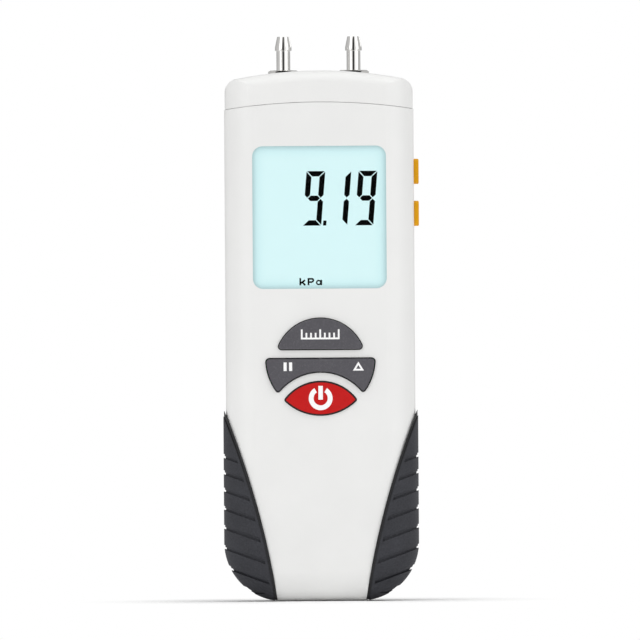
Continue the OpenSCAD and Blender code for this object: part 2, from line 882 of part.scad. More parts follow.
module lcd_frame() color(chip_color) difference() {
    front_prism(inner_face_y, board_y)
        translate([0, (frame_top + frame_foot) / 2]) round_rect(2 * frame_half, frame_top - frame_foot, frame_r);
    front_prism(glass_y, board_y + overrun)
        translate([-frame_half + frame_wall, frame_foot + frame_wall])
            square([2 * (frame_half - frame_wall), frame_top - frame_foot - 2 * frame_wall]);
    front_prism(inner_face_y - overrun, glass_y + snug) translate([0, display_z])
        round_rect(display_w + 2 * lip_reveal, display_h + 2 * lip_reveal, display_r + lip_reveal);
}

module lcd_glass() color(display_color)
    block([-glass_half, glass_y, glass_foot], [glass_half, backlight_y, glass_top]);

module backlight() color(milk_color)
    block([-glass_half, backlight_y, glass_foot + zebra_h + 2 * zebra_gap], [glass_half, board_y, glass_top]);

module zebra_strip() color(grip_color)
    block([-glass_half + zebra_inset, backlight_y, glass_foot + zebra_gap],
        [glass_half - zebra_inset, board_y, glass_foot + zebra_gap + zebra_h]);

// A numeral's level bar: at its foot, middle or top, which are levels 0, 1 and 2. All bars meet in mitres
function level_bar(level) =
    let (g = segment_gap, t = digit_stroke, w = digit_w, m = digit_h / 2, z = level * m, i = (1 - level) * t)
    level == 1 ?
        [[t / 2 + g, m], [t + g, m + t / 2], [w - t - g, m + t / 2],
            [w - t / 2 - g, m], [w - t - g, m - t / 2], [t + g, m - t / 2]] :
        [[g, z], [w - g, z], [w - t - g, z + i], [t + g, z + i]];

// A numeral's upright bar: at its right or left, above or below the middle
function upright_bar(right, above) =
    let (g = segment_gap, t = digit_stroke, m = digit_h / 2, s = above ? 1 : -1,
        x0 = right ? digit_w : 0, x1 = right ? digit_w - t : t)
    [[x0, m + s * (m - g)], [x1, m + s * (m - t - g)], [x1, m + s * (g + t / 2)],
        [(x0 + x1) / 2, m + s * g], [x0, m + s * (g + t / 2)]];

// One numeral, from the list of its bars
module digit(bars) {
    for (b = bars) polygon([for (p = b) [p[0] + p[1] * tan(digit_lean), p[1]]]);
}

module lcd_segments() color(ink_color) {
    one = [upright_bar(true, false), upright_bar(true, true)];
    nine = concat(one, [level_bar(0), level_bar(1), level_bar(2), upright_bar(false, true)]);
    numerals = [nine, one, nine];
    front_prism(glass_y - segment_t, glass_y) {
        for (i = [0 : len(numerals) - 1])
            translate([digits_x + i * digit_pitch, digits_z]) digit(numerals[i]);
        translate([point_x, digits_z]) digit([[[0, 0], [point_w, 0], [point_w, point_h], [0, point_h]]]);
    }
}

// Electronics

module main_board() color(board_color) difference() {
    front_prism(board_y, board_back_y) {
        translate([-board_low_half, board_foot_z]) square([2 * board_low_half, board_shoulder_z - board_foot_z]);
        translate([-board_half, board_mid_z]) square([2 * board_half, board_shoulder_z - board_mid_z]);
        translate([-board_top_half, board_mid_z]) square([2 * board_top_half, board_top_z - board_mid_z]);
    }
    board_screw_places() bar_y(0, 0, board_screw_r + loose, board_y - overrun, board_back_y + overrun);
}

module board_screws() color(steel_color) board_screw_places() {
    bar_y(0, 0, board_head_r, board_back_y, board_back_y + board_head_t);
    bar_y(0, 0, board_screw_r, board_y + board_t + snug - board_screw_l, board_back_y);
}

module board_chips() color(chip_color) {
    chip_t = 1.2;
    chip_z = sensor_top - sensor_h;
    // Each chip: left edge, drop of its top below the sensor, width, height
    chips = [[-10, 4, 10, 10], [4, 5, 6, 5], [4, 13, 4, 4], [-14, 20, 5, 3]];
    for (c = chips)
        block([c[0], board_back_y, chip_z - c[1] - c[3]], [c[0] + c[2], board_back_y + chip_t, chip_z - c[1]]);
}

module buzzer() color(chip_color) {
    buzzer_r = 4.5;
    buzzer_t = 3.5;
    difference() {
        bar_y(0, units_post_z, buzzer_r, board_back_y, board_back_y + buzzer_t);
        bar_y(0, units_post_z, buzzer_r / 4, board_back_y + buzzer_t / 2, board_back_y + buzzer_t + overrun);
    }
}

module side_switches() color(chip_color) difference() {
    for (z = side_key_zs)
        block([switch_x - switch_l, board_back_y, z - switch_h / 2], [switch_x, board_back_y + switch_t, z + switch_h / 2]);
    for (z = side_key_zs)
        side_prism(z, switch_x - plunger_in - 2 * side_key_travel, switch_x + overrun) circle(r = plunger_r + plunger_fit);
}

module plunger(z) color(milk_color)
    side_prism(z, switch_x - plunger_in, plunger_end_x) circle(r = plunger_r);

module upper_plunger() plunger(side_key_zs[0]);

module lower_plunger() plunger(side_key_zs[1]);

// Keys

module key_mat() color(silicone_color) {
    dome_places = [
        [0, units_post_z], [-rocker_post_x, rocker_post_z], [rocker_post_x, rocker_post_z], [0, power_post_z]
    ];
    block([-mat_half, mat_y, mat_foot_z], [mat_half, board_y, mat_top_z]);
    for (p = dome_places)
        translate([p[0], mat_y + snug, p[1]]) rotate([90, 0, 0])
            cylinder(r1 = dome_foot_r, r2 = dome_top_r, h = mat_y + snug - key_back_y);
}

// A key's cap, open at the back
module key_shell(k) {
    difference() {
        front_prism(key_y, key_back_y) key_outline(k, 0);
        front_prism(key_y + key_face_t, key_back_y + overrun) key_outline(k, -key_wall);
    }
}

// A pushed key: its cap, the flange that holds it in and the post that presses the dome
module push_key(k, post_z) {
    key_shell(k);
    difference() {
        front_prism(flange_y, key_back_y) key_outline(k, key_clear + flange_out);
        front_prism(flange_y - overrun, key_back_y + overrun) key_outline(k, -key_wall);
    }
    bar_y(0, post_z, key_post_r, key_y + key_face_t / 2, key_back_y);
}

module units_key() color(key_color) push_key(0, units_post_z);

module power_key() color(power_color) push_key(2, power_post_z);

module hold_dif_key() color(key_color) difference() {
    union() {
        key_shell(1);
        for (s = [-1, 1])
            bar_y(s * rocker_post_x, rocker_post_z, rocker_post_r, key_y + key_face_t / 2, key_back_y);
        block([-hub_r, key_y + key_face_t / 2, rocker_mid_foot], [hub_r, pin_y, rocker_top]);
        translate([0, pin_y, rocker_mid_foot]) cylinder(r = hub_r, h = rocker_neck);
    }
    translate([0, pin_y, rocker_mid_foot - overrun]) cylinder(r = pin_r + snug, h = rocker_neck + 2 * overrun);
}

module rocker_pin() color(steel_color)
    translate([0, pin_y, rocker_mid_foot - ear_gap - ear_t])
        cylinder(r = pin_r, h = rocker_neck + 2 * (ear_gap + ear_t));

module side_key(z) color(side_color) {
    side_prism(z, side_flange_x, half_w + side_key_proud) side_key_outline(0);
    side_prism(z, side_flange_x, side_flange_x + side_flange_t)
        side_key_outline(side_flange_out);
    side_prism(z, plunger_end_x, side_flange_x + snug) circle(r = side_post_r);
}

module side_key_upper() side_key(side_key_zs[0]);

module side_key_lower() side_key(side_key_zs[1]);

// Pressure path

module pressure_sensor() color(milk_color) {
    difference() {
        union() {
            block([-sensor_half, board_back_y, sensor_top - sensor_h], [sensor_half, sensor_lead, sensor_top]);
            for (s = [-1, 1])
                translate([s * sensor_nipple_x, 0, sensor_top - overrun]) cylinder(r = nipple_r, h = sensor_nipple_l + overrun);
        }
        for (s = [-1, 1])
            translate([s * sensor_nipple_x, 0, sensor_top - sensor_h / 2])
                cylinder(r = nipple_r / 2, h = sensor_nipple_l + sensor_h);
    }
}

// Line of the right hose: it stands on the sensor's nipple and bends out to the port's
function hose_share(z) = min(max((z - hose_bend_z) / hose_bend_h, 0), 1);

function hose_x(z) = let (u = hose_share(z)) sensor_nipple_x + hose_shift * u * u * (3 - 2 * u);

function hose_lean(z) = let (u = hose_share(z)) atan(6 * u * (1 - u) * hose_shift / hose_bend_h);

function hose_ring(z, r) = [for (j = [0 : hose_sides - 1])
    let (b = 360 * j / hose_sides, q = r * cos(b))
    [hose_x(z) + q * cos(hose_lean(z)), r * sin(b), z - q * sin(hose_lean(z))]];

// Outside and bore as two tubes of rings, joined at both ends
module right_hose_form() {
    n = hose_sides;
    zs = concat([sensor_top + hose_gap],
        [for (i = [0 : hose_rings]) hose_bend_z + hose_bend_h * i / hose_rings],
        [port_flange_foot - hose_gap]);
    m = len(zs);
    points = concat([for (z = zs) each hose_ring(z, hose_r)], [for (z = zs) each hose_ring(z, hose_bore_r)]);
    faces = [for (side = [0, 1], i = [0 : m - 2], j = [0 : n - 1], h = [0, 1])
        let (a = (side * m + i) * n + j, b = (side * m + i) * n + (j + 1) % n,
            f = h == 0 ? [a, b + n, b] : [a, a + n, b + n])
        side == 0 ? f : [f[2], f[1], f[0]]];
    ends = [for (top = [0, 1], j = [0 : n - 1], h = [0, 1])
        let (out = top * (m - 1) * n, in = out + m * n, k = (j + 1) % n,
            f = h == 0 ? [out + j, out + k, in + k] : [out + j, in + k, in + j])
        top == 0 ? f : [f[2], f[1], f[0]]];
    polyhedron(points, concat(faces, ends));
}

module right_hose() color(silicone_color) right_hose_form();

module left_hose() color(silicone_color) mirror([1, 0, 0]) right_hose_form();

module port(x) color(nickel_color) translate([x, 0, 0]) rotate_extrude()
    polygon([
        [port_bore_r, nipple_foot], [nipple_r, nipple_foot], [nipple_r, port_flange_foot],
        [port_flange_r, port_flange_foot], [port_flange_r, port_flange_z], [shank_r, port_flange_z],
        [shank_r, nut_top_z], [stem_r, nut_top_z], [stem_r, barb_foot_z], [barb_r, barb_foot_z],
        [barb_r, barb_top_z], [tip_r, port_tip_z], [port_bore_r, port_tip_z]
    ]);

module left_port() port(-port_x);

module right_port() port(port_x);

module port_nuts() color(nickel_color) for (s = [-1, 1])
    translate([s * port_x, 0, 0]) plan_prism(nut_seat_z, nut_top_z) difference() {
        circle(r = nut_r, $fn = 6);
        circle(r = shank_r + nut_fit);
    }

module port_seals() color(chip_color) for (s = [-1, 1])
    translate([s * port_x, 0, port_flange_z + seal_r])
        rotate_extrude() translate([shank_r + seal_r + snug, 0]) circle(r = seal_r, $fn = 24);

// Screws

module housing_screws() color(steel_color) screw_places() {
    bar_y(0, 0, screw_head_r, split_y + screw_seat, split_y + screw_seat + screw_head_t);
    bar_y(0, 0, screw_r, split_y - screw_bite, split_y + screw_seat);
}

// Battery compartment

module battery_door() color(shell_color) {
    intersection() {
        difference() {
            block([-door_half, inner_back_y, door_foot_z], [door_half, back_y + overrun, door_top_z]);
            block([-latch_w / 2 - latch_gap, inner_back_y - overrun, latch_z],
                [latch_w / 2 + latch_gap, back_y + 2 * overrun, door_top_z + overrun]);
        }
        body_form(0, body_h);
    }
    for (s = [-1, 1]) {
        block([s * tab_x - tab_w / 2, inner_back_y - tab_in, door_foot_z - tab_down],
            [s * tab_x + tab_w / 2, inner_back_y - tab_out, door_foot_z + tab_up]);
        block([s * tab_x - tab_w / 2, inner_back_y - tab_in, door_foot_z + tab_root],
            [s * tab_x + tab_w / 2, inner_back_y + wall / 2, door_foot_z + tab_up]);
    }
}

module battery_latch() color(shell_color) {
    block([-latch_w / 2, inner_back_y, latch_z], [latch_w / 2, back_y, latch_top_z]);
    block([-latch_w / 2, inner_back_y - hook_in, latch_top_z - hook_root],
        [latch_w / 2, inner_back_y - hook_out, latch_top_z + hook_h]);
    block([-latch_w / 2, inner_back_y - hook_in, latch_top_z - hook_root],
        [latch_w / 2, inner_back_y, latch_top_z]);
    for (i = [1 : rib_count])
        block([-latch_w / 2 + rib_w, back_y - rib_h, latch_z + i * rib_pitch],
            [latch_w / 2 - rib_w, back_y + rib_h, latch_z + i * rib_pitch + rib_w]);
}

module door_pad() color(foam_color)
    block([-pad_w / 2, inner_back_y - pad_t, (tray_foot_z + tray_top_z - pad_h) / 2],
        [pad_w / 2, inner_back_y, (tray_foot_z + tray_top_z + pad_h) / 2]);

// Turns every second cell, with its spring, the other way up
module cell_places() {
    tray_mid_z = (tray_foot_z + tray_top_z) / 2;
    for (i = [-1 : 1])
        translate([i * cell_pitch, cell_y, tray_mid_z]) mirror([0, 0, abs(i)])
            translate([0, 0, tray_foot_z - tray_mid_z]) children();
}

module battery_cells() color(cell_color) cell_places() {
    translate([0, 0, contact_t + spring_l]) cylinder(r = cell_r, h = cell_l - nub_h);
    translate([0, 0, contact_t + spring_l + cell_l - nub_h]) cylinder(r = nub_r, h = nub_h);
}

module battery_contacts() color(nickel_color) {
    cell_places() {
        block([-contact_half, -contact_half, 0], [contact_half, contact_half, contact_t]);
        block([-contact_half, -contact_half, contact_t + spring_l + cell_l],
            [contact_half, contact_half, 2 * contact_t + spring_l + cell_l]);
    }
    for (s = [-1, 1])
        block([s * cell_pitch - tab_size / 2, lead_y - tab_size / 2, tray_top_z + tray_end],
            [s * cell_pitch + tab_size / 2, lead_y + tab_size / 2, lead_foot_z]);
}

// Rings of wire round a cone-shaped coil, and the faces between them
function coil_ring(t) =
    let (a = 360 * spring_turns * t, r = spring_foot_r + (spring_tip_r - spring_foot_r) * t,
        z = contact_t + spring_wire_r + (spring_l - 2 * spring_wire_r) * t)
    [for (j = [0 : spring_sides - 1]) let (b = 360 * j / spring_sides, q = r + spring_wire_r * cos(b))
        [q * cos(a), q * sin(a), z + spring_wire_r * sin(b)]];

function coil_points() = [for (i = [0 : spring_rings]) each coil_ring(i / spring_rings)];

function coil_faces() = let (n = spring_sides, last = spring_rings * n) concat(
    [for (i = [0 : spring_rings - 1], j = [0 : n - 1], h = [0, 1])
        let (a = i * n + j, b = i * n + (j + 1) % n)
        h == 0 ? [a, b, b + n] : [a, b + n, a + n]],
    [for (j = [1 : n - 2]) [0, j + 1, j]],
    [for (j = [1 : n - 2]) [last, last + j, last + j + 1]]);

module battery_springs() color(steel_color) cell_places() polyhedron(coil_points(), coil_faces());

module lead(x) translate([x, 0, 0]) {
    end_z = lead_foot_z + lead_rise + lead_bend_r;
    bar_top = lead_foot_z + lead_rise;
    translate([0, lead_y, lead_foot_z]) cylinder(r = lead_r, h = lead_rise);
    translate([0, lead_y - lead_bend_r, bar_top]) rotate([90, 0, 90])
        rotate_extrude(angle = 90) translate([lead_bend_r, 0]) circle(r = lead_r);
    bar_y(0, end_z, lead_r, board_back_y, lead_y - lead_bend_r);
}

module red_lead() color(red_color) lead(-cell_pitch);

module black_lead() color(chip_color) lead(cell_pitch);

front_housing();
rear_housing();
top_cap();
left_grip();
right_grip();
display_lens();
lcd_frame();
lcd_glass();
lcd_segments();
backlight();
zebra_strip();
main_board();
board_chips();
buzzer();
board_screws();
key_mat();
units_key();
hold_dif_key();
rocker_pin();
power_key();
side_key_upper();
side_key_lower();
side_switches();
upper_plunger();
lower_plunger();
pressure_sensor();
left_hose();
right_hose();
left_port();
right_port();
port_nuts();
port_seals();
housing_screws();
battery_door();
battery_latch();
door_pad();
battery_cells();
battery_springs();
battery_contacts();
red_lead();
black_lead();
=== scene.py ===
"""Looks of a hand-held digital manometer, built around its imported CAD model.

Everything is in metres, in the CAD's frame: the display faces -Y and +Z is up.
Lengths are written in millimetres and multiplied by MM.
"""

import math

import bmesh
import bpy
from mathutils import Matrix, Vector


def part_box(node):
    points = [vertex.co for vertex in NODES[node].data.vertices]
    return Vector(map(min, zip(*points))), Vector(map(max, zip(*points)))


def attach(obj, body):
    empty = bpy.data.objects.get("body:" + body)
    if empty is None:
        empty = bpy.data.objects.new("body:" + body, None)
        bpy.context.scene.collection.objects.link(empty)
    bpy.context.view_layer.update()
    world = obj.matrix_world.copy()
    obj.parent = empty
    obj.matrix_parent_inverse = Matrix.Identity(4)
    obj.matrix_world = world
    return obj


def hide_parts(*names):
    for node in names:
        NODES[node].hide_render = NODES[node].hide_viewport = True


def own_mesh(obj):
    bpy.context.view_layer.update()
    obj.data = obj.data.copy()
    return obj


MM = 0.001
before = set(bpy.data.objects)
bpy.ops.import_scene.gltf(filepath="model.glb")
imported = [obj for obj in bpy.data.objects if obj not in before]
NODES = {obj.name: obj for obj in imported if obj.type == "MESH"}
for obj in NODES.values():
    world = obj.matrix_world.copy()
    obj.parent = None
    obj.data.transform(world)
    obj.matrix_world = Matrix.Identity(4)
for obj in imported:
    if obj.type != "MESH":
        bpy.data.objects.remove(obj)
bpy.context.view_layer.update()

BODY_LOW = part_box("front_housing")[0]
LENS_LOW, LENS_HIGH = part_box("display_lens")
KEY_FACE_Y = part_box("units_key")[0].y
GRIP_LOW, GRIP_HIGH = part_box("right_grip")


# Camera, lights and floor

PHOTO_SPAN = 185.6 * MM  # width and height of the photograph at the object
PHOTO_MIDDLE = (-0.04 * MM, 81.6 * MM)
CAMERA_DISTANCE = 6.0
CAMERA_ROLL = 0.0068
CAMERA_REACH = 100
SENSOR_WIDTH = 36

WALL_STRENGTH = 0.68
CEILING = (0.55, 0.9)  # how steeply up the walls start to give way to the ceiling, and have given way
FLOOR_HALF = 0.6
FLOOR_SHADE = (0.026, 0.075)  # distances from the middle at which the shadows start to fade, and are gone

# name, place, aim, size and power of each lamp
LAMPS = [
    ("top_light", (0.1, -0.25, 0.9), (0, 0, 0.05), (0.7, 0.7), 1.7),
    ("left_light", (-0.7, -0.9, 0.6), (0, 0, 0.09), (0.5, 0.9), 2.0),
    ("right_light", (0.9, -0.45, 0.5), (0, 0, 0.09), (0.4, 0.9), 1.1),
    ("back_light", (0.7, 1.0, 0.7), (0, 0, 0.08), (0.6, 0.9), 2.0),
]


def link(thing):
    bpy.context.scene.collection.objects.link(thing)
    return thing


def add_camera():
    data = bpy.data.cameras.new("camera")
    data.sensor_width = SENSOR_WIDTH
    data.lens = SENSOR_WIDTH * CAMERA_DISTANCE / PHOTO_SPAN
    data.clip_end = CAMERA_REACH
    camera = link(bpy.data.objects.new("camera", data))
    camera.location = (PHOTO_MIDDLE[0], BODY_LOW.y - CAMERA_DISTANCE, PHOTO_MIDDLE[1])
    camera.rotation_euler = (math.radians(90), CAMERA_ROLL, 0)
    bpy.context.scene.camera = camera


def add_area_light(name, place, aim, size, power):
    data = bpy.data.lights.new(name, "AREA")
    data.shape = "RECTANGLE"
    data.size, data.size_y = size
    data.energy = power
    light = link(bpy.data.objects.new(name, data))
    light.location = place
    light.rotation_euler = (Vector(aim) - Vector(place)).to_track_quat("-Z", "Y").to_euler()


def ramp(nodes, stops):
    """A colour ramp from (place, grey or colour) pairs."""
    made = nodes.new("ShaderNodeValToRGB")
    bar = made.color_ramp
    while len(bar.elements) < len(stops):
        bar.elements.new(0.5)
    for element, (place, value) in zip(bar.elements, stops):
        element.position = place
        element.color = (value, value, value, 1) if isinstance(value, (int, float)) else (*value, 1)
    return made


# Brightness of the studio's walls by direction: 0 is straight behind the object and 1 straight in front
WALLS = [
    (0.0, 0.34), (0.12, 0.45), (0.30, 0.78), (0.50, 0.84), (0.66, 1.0), (0.69, 1.9),
    (0.80, 1.9), (0.85, 1.05), (0.915, 1.0), (0.935, 0.04), (1.0, 0.03),
]


def add_world():
    """A pale studio: bright strips at both sides, a narrow dark gap in front and a white background."""
    world = bpy.data.worlds.new("studio")
    bpy.context.scene.world = world
    world.use_nodes = True
    nodes, links = world.node_tree.nodes, world.node_tree.links
    nodes.clear()
    place = nodes.new("ShaderNodeTexCoord")
    split = nodes.new("ShaderNodeSeparateXYZ")
    links.new(place.outputs["Generated"], split.inputs[0])
    turn = nodes.new("ShaderNodeMath")
    turn.operation = "ARCTAN2"
    links.new(split.outputs["X"], turn.inputs[0])
    links.new(split.outputs["Y"], turn.inputs[1])
    side = nodes.new("ShaderNodeMath")
    side.operation = "ABSOLUTE"
    links.new(turn.outputs[0], side.inputs[0])
    share = nodes.new("ShaderNodeMath")
    share.operation = "DIVIDE"
    share.inputs[1].default_value = math.pi
    links.new(side.outputs[0], share.inputs[0])
    walls = ramp(nodes, [(place, value / 2) for place, value in WALLS])
    links.new(share.outputs[0], walls.inputs[0])
    up = nodes.new("ShaderNodeMapRange")
    up.inputs["From Min"].default_value, up.inputs["From Max"].default_value = CEILING
    links.new(split.outputs["Z"], up.inputs["Value"])
    ceiling = nodes.new("ShaderNodeMix")
    ceiling.data_type = "RGBA"
    ceiling.inputs["B"].default_value = (0.5, 0.5, 0.5, 1)
    links.new(up.outputs[0], ceiling.inputs["Factor"])
    links.new(walls.outputs[0], ceiling.inputs["A"])
    studio = nodes.new("ShaderNodeBackground")
    studio.inputs["Strength"].default_value = 2 * WALL_STRENGTH
    links.new(ceiling.outputs["Result"], studio.inputs["Color"])
    white = nodes.new("ShaderNodeBackground")
    white.inputs["Color"].default_value = (1, 1, 1, 1)
    path = nodes.new("ShaderNodeLightPath")
    choose = nodes.new("ShaderNodeMixShader")
    links.new(path.outputs["Is Camera Ray"], choose.inputs[0])
    links.new(studio.outputs[0], choose.inputs[1])
    links.new(white.outputs[0], choose.inputs[2])
    out = nodes.new("ShaderNodeOutputWorld")
    links.new(choose.outputs[0], out.inputs["Surface"])


def add_floor():
    """A pale floor: it takes the object's shadow nearby and is as white as the background further off."""
    mesh = bpy.data.meshes.new("floor")
    corners = [(x * FLOOR_HALF, y * FLOOR_HALF, 0) for x, y in ((-1, -1), (1, -1), (1, 1), (-1, 1))]
    mesh.from_pydata(corners, [], [(0, 1, 2, 3)])
    floor = link(bpy.data.objects.new("floor", mesh))
    paint = bpy.data.materials.new("floor")
    paint.use_nodes = True
    nodes, links = paint.node_tree.nodes, paint.node_tree.links
    nodes.clear()
    place = nodes.new("ShaderNodeTexCoord")
    reach = nodes.new("ShaderNodeVectorMath")
    reach.operation = "LENGTH"
    links.new(place.outputs["Object"], reach.inputs[0])
    fade = nodes.new("ShaderNodeMapRange")
    fade.interpolation_type = "SMOOTHSTEP"
    fade.inputs["From Min"].default_value, fade.inputs["From Max"].default_value = FLOOR_SHADE
    links.new(reach.outputs["Value"], fade.inputs["Value"])
    matte = nodes.new("ShaderNodeBsdfDiffuse")
    matte.inputs["Color"].default_value = (0.97, 0.97, 0.97, 1)
    glow = nodes.new("ShaderNodeEmission")
    mix = nodes.new("ShaderNodeMixShader")
    links.new(fade.outputs[0], mix.inputs[0])
    links.new(matte.outputs[0], mix.inputs[1])
    links.new(glow.outputs[0], mix.inputs[2])
    out = nodes.new("ShaderNodeOutputMaterial")
    links.new(mix.outputs[0], out.inputs["Surface"])
    mesh.materials.append(paint)


# Materials


class Finish:
    """A material under construction: a Principled shader and the nodes that vary it."""

    def __init__(self, name, colour, roughness, **sockets):
        self.material = bpy.data.materials.new(name)
        self.material.use_nodes = True
        self.nodes = self.material.node_tree.nodes
        self.links = self.material.node_tree.links
        self.shader = self.nodes["Principled BSDF"]
        self.place = self.nodes.new("ShaderNodeTexCoord")
        self.set("Base Color", (*colour, 1))
        self.set("Roughness", roughness)
        self.colour, self.roughness = colour, roughness
        for socket, value in sockets.items():
            self.set("IOR" if socket == "ior" else socket.replace("_", " ").title(), value)
        self.normal = None

    def set(self, socket, value):
        self.shader.inputs[socket].default_value = value

    def noise(self, size, detail=2.0, stretch=(1, 1, 1)):
        """Noise of about that grain size."""
        points = self.place.outputs["Object"]
        if stretch != (1, 1, 1):
            mapping = self.nodes.new("ShaderNodeMapping")
            mapping.inputs["Scale"].default_value = stretch
            self.links.new(points, mapping.inputs["Vector"])
            points = mapping.outputs[0]
        made = self.nodes.new("ShaderNodeTexNoise")
        made.inputs["Scale"].default_value = 1 / size
        made.inputs["Detail"].default_value = detail
        self.links.new(points, made.inputs["Vector"])
        return made.outputs["Fac"]

    def bump(self, height, depth):
        made = self.nodes.new("ShaderNodeBump")
        made.inputs["Strength"].default_value = 1.0
        made.inputs["Distance"].default_value = depth
        self.links.new(height, made.inputs["Height"])
        if self.normal is not None:
            self.links.new(self.normal, made.inputs["Normal"])
        self.normal = made.outputs[0]
        self.links.new(self.normal, self.shader.inputs["Normal"])
        return self

    def grain(self, size, depth, detail=2.0, stretch=(1, 1, 1)):
        return self.bump(self.noise(size, detail, stretch), depth)

    def shade(self, value, spread):
        """Takes the colour from spread below to spread above its own, by value."""
        low = [max(c * (1 - spread), 0) for c in self.colour]
        high = [min(c * (1 + spread), 1) for c in self.colour]
        self.colours(value, [(0.3, low), (0.7, high)])
        return self

    def colours(self, value, stops, socket="Base Color"):
        """Colours by value, from (place, colour) pairs."""
        made = ramp(self.nodes, stops)
        self.links.new(value, made.inputs[0])
        self.links.new(made.outputs[0], self.shader.inputs[socket])
        return made.outputs[0]

    def gloss(self, value, spread):
        """Takes the roughness from spread below to spread above its own, by value."""
        smooth, rough = max(self.roughness - spread, 0), self.roughness + spread
        self.range(value, 0.3, 0.7, smooth, rough, "Roughness")
        return self

    def range(self, value, low, high, to_low, to_high, socket=None):
        made = self.nodes.new("ShaderNodeMapRange")
        limits = (("From Min", low), ("From Max", high), ("To Min", to_low), ("To Max", to_high))
        for name, number in limits:
            made.inputs[name].default_value = number
        self.links.new(value, made.inputs["Value"])
        if socket:
            self.links.new(made.outputs[0], self.shader.inputs[socket])
        return made.outputs[0]

    def along(self, axis):
        split = self.nodes.new("ShaderNodeSeparateXYZ")
        self.links.new(self.place.outputs["Object"], split.inputs[0])
        return split.outputs[axis]

    def math(self, kind, a, b=0.0):
        made = self.nodes.new("ShaderNodeMath")
        made.operation = kind
        for socket, value in zip(made.inputs, (a, b)):
            if isinstance(value, (int, float)):
                socket.default_value = value
            else:
                self.links.new(value, socket)
        return made.outputs[0]

    def distance(self, across, up):
        """Length of the flat vector (across, up)."""
        squares = self.math("ADD", self.math("POWER", across, 2.0), self.math("POWER", up, 2.0))
        return self.math("SQRT", squares)


def moulded(
    name, colour, roughness=0.42, grain_size=0.35 * MM, depth=0.012 * MM, spread=0.015, shine=0.5
):
    """Injection-moulded plastic with a fine spark-eroded texture and slightly uneven gloss."""
    finish = Finish(name, colour, roughness, ior=1.5)
    finish.set("Specular IOR Level", shine)
    finish.grain(grain_size, depth, detail=3.0)
    finish.gloss(finish.noise(9 * MM, 3.0), 0.05)
    finish.shade(finish.noise(16 * MM, 2.0), spread)
    return finish.material


def rubber(name, colour, roughness):
    """Moulded rubber: dark, fine-grained and a little dusty."""
    finish = Finish(name, colour, roughness, ior=1.5)
    finish.grain(0.22 * MM, 0.02 * MM, detail=4.0)
    finish.gloss(finish.noise(6 * MM, 4.0), 0.08)
    finish.shade(finish.noise(5 * MM, 4.0), 0.12)
    return finish.material


GRIP_BOW = 1.785 * MM  # how far a grip's inner edge bows from the line between its two ends
GRIP_RIM_W = 0.8 * MM


def grip_arc():
    """The middle, as (x, z), and the radius of the arc that the right grip's inner edge follows."""
    foot, top = Vector((GRIP_LOW.x, GRIP_LOW.z)), Vector((GRIP_HIGH.x, GRIP_HIGH.z))
    chord = top - foot
    radius = (chord.length ** 2 / 4 + GRIP_BOW ** 2) / (2 * GRIP_BOW)
    outward = Vector((chord.y, -chord.x)).normalized()
    return (foot + top) / 2 + outward * (radius - GRIP_BOW), radius


# Grip colours by value: blackest on the smooth rim as painted dark reflection, palest on the grained field as
# painted sheen
GRIP_PAINTED_SHEEN_SHADES = [
    (0.10, (0.007, 0.007, 0.008)), (0.38, (0.012, 0.012, 0.014)),
    (0.55, (0.024, 0.025, 0.031)), (0.80, (0.044, 0.045, 0.054)),
]


def grip_rubber(name):
    """The grips' rubber: grained, with a smooth rim along the inner edge; the rim is painted blacker as
    painted dark reflection, and the grained field paler as painted sheen.
    """
    finish = Finish(name, (0.020, 0.021, 0.027), 0.6, ior=1.5)
    finish.set("Specular IOR Level", 0.4)
    middle, radius = grip_arc()
    across = finish.math("SUBTRACT", finish.math("ABSOLUTE", finish.along("X")), middle.x)
    up = finish.math("SUBTRACT", finish.along("Z"), middle.y)
    inside = finish.math("SUBTRACT", radius, finish.distance(across, up))
    field = finish.range(inside, GRIP_RIM_W - 0.2 * MM, GRIP_RIM_W + 0.2 * MM, 0.0, 1.0)
    speckle = finish.math("MULTIPLY", finish.noise(0.5 * MM, 4.0), 0.35)
    wear = finish.math("MULTIPLY", finish.noise(6 * MM, 4.0), 0.25)
    # The field's share paints the rim blacker (painted dark reflection) and the field paler (painted sheen);
    # speckle and wear are random tone
    shade = finish.math("ADD", finish.math("MULTIPLY", field, 0.32), finish.math("ADD", speckle, wear))
    finish.colours(shade, GRIP_PAINTED_SHEEN_SHADES)
    finish.bump(finish.math("MULTIPLY", finish.noise(0.4 * MM, 4.0), field), 0.06 * MM)
    patchy = finish.math("MULTIPLY", finish.noise(6 * MM, 4.0), 0.16)
    dullness = finish.math("ADD", finish.math("MULTIPLY", field, 0.2), patchy)
    finish.range(dullness, 0.0, 0.4, 0.5, 0.78, "Roughness")
    return finish.material


# How a front key's colour changes with the depth behind its face: the face, a rim band that is painted
# highlight on the grey keys and painted shade on the red key, and a black flank that is painted shadow of the
# gap round the key
KEY_PAINTED_RIM_DEPTH = 0.006 * MM
KEY_GAP_SHADOW_DEPTH = 0.035 * MM
KEY_DEPTH_RANGE = 0.1 * MM
KEY_GAP_SHADOW = (0.003, 0.003, 0.003)


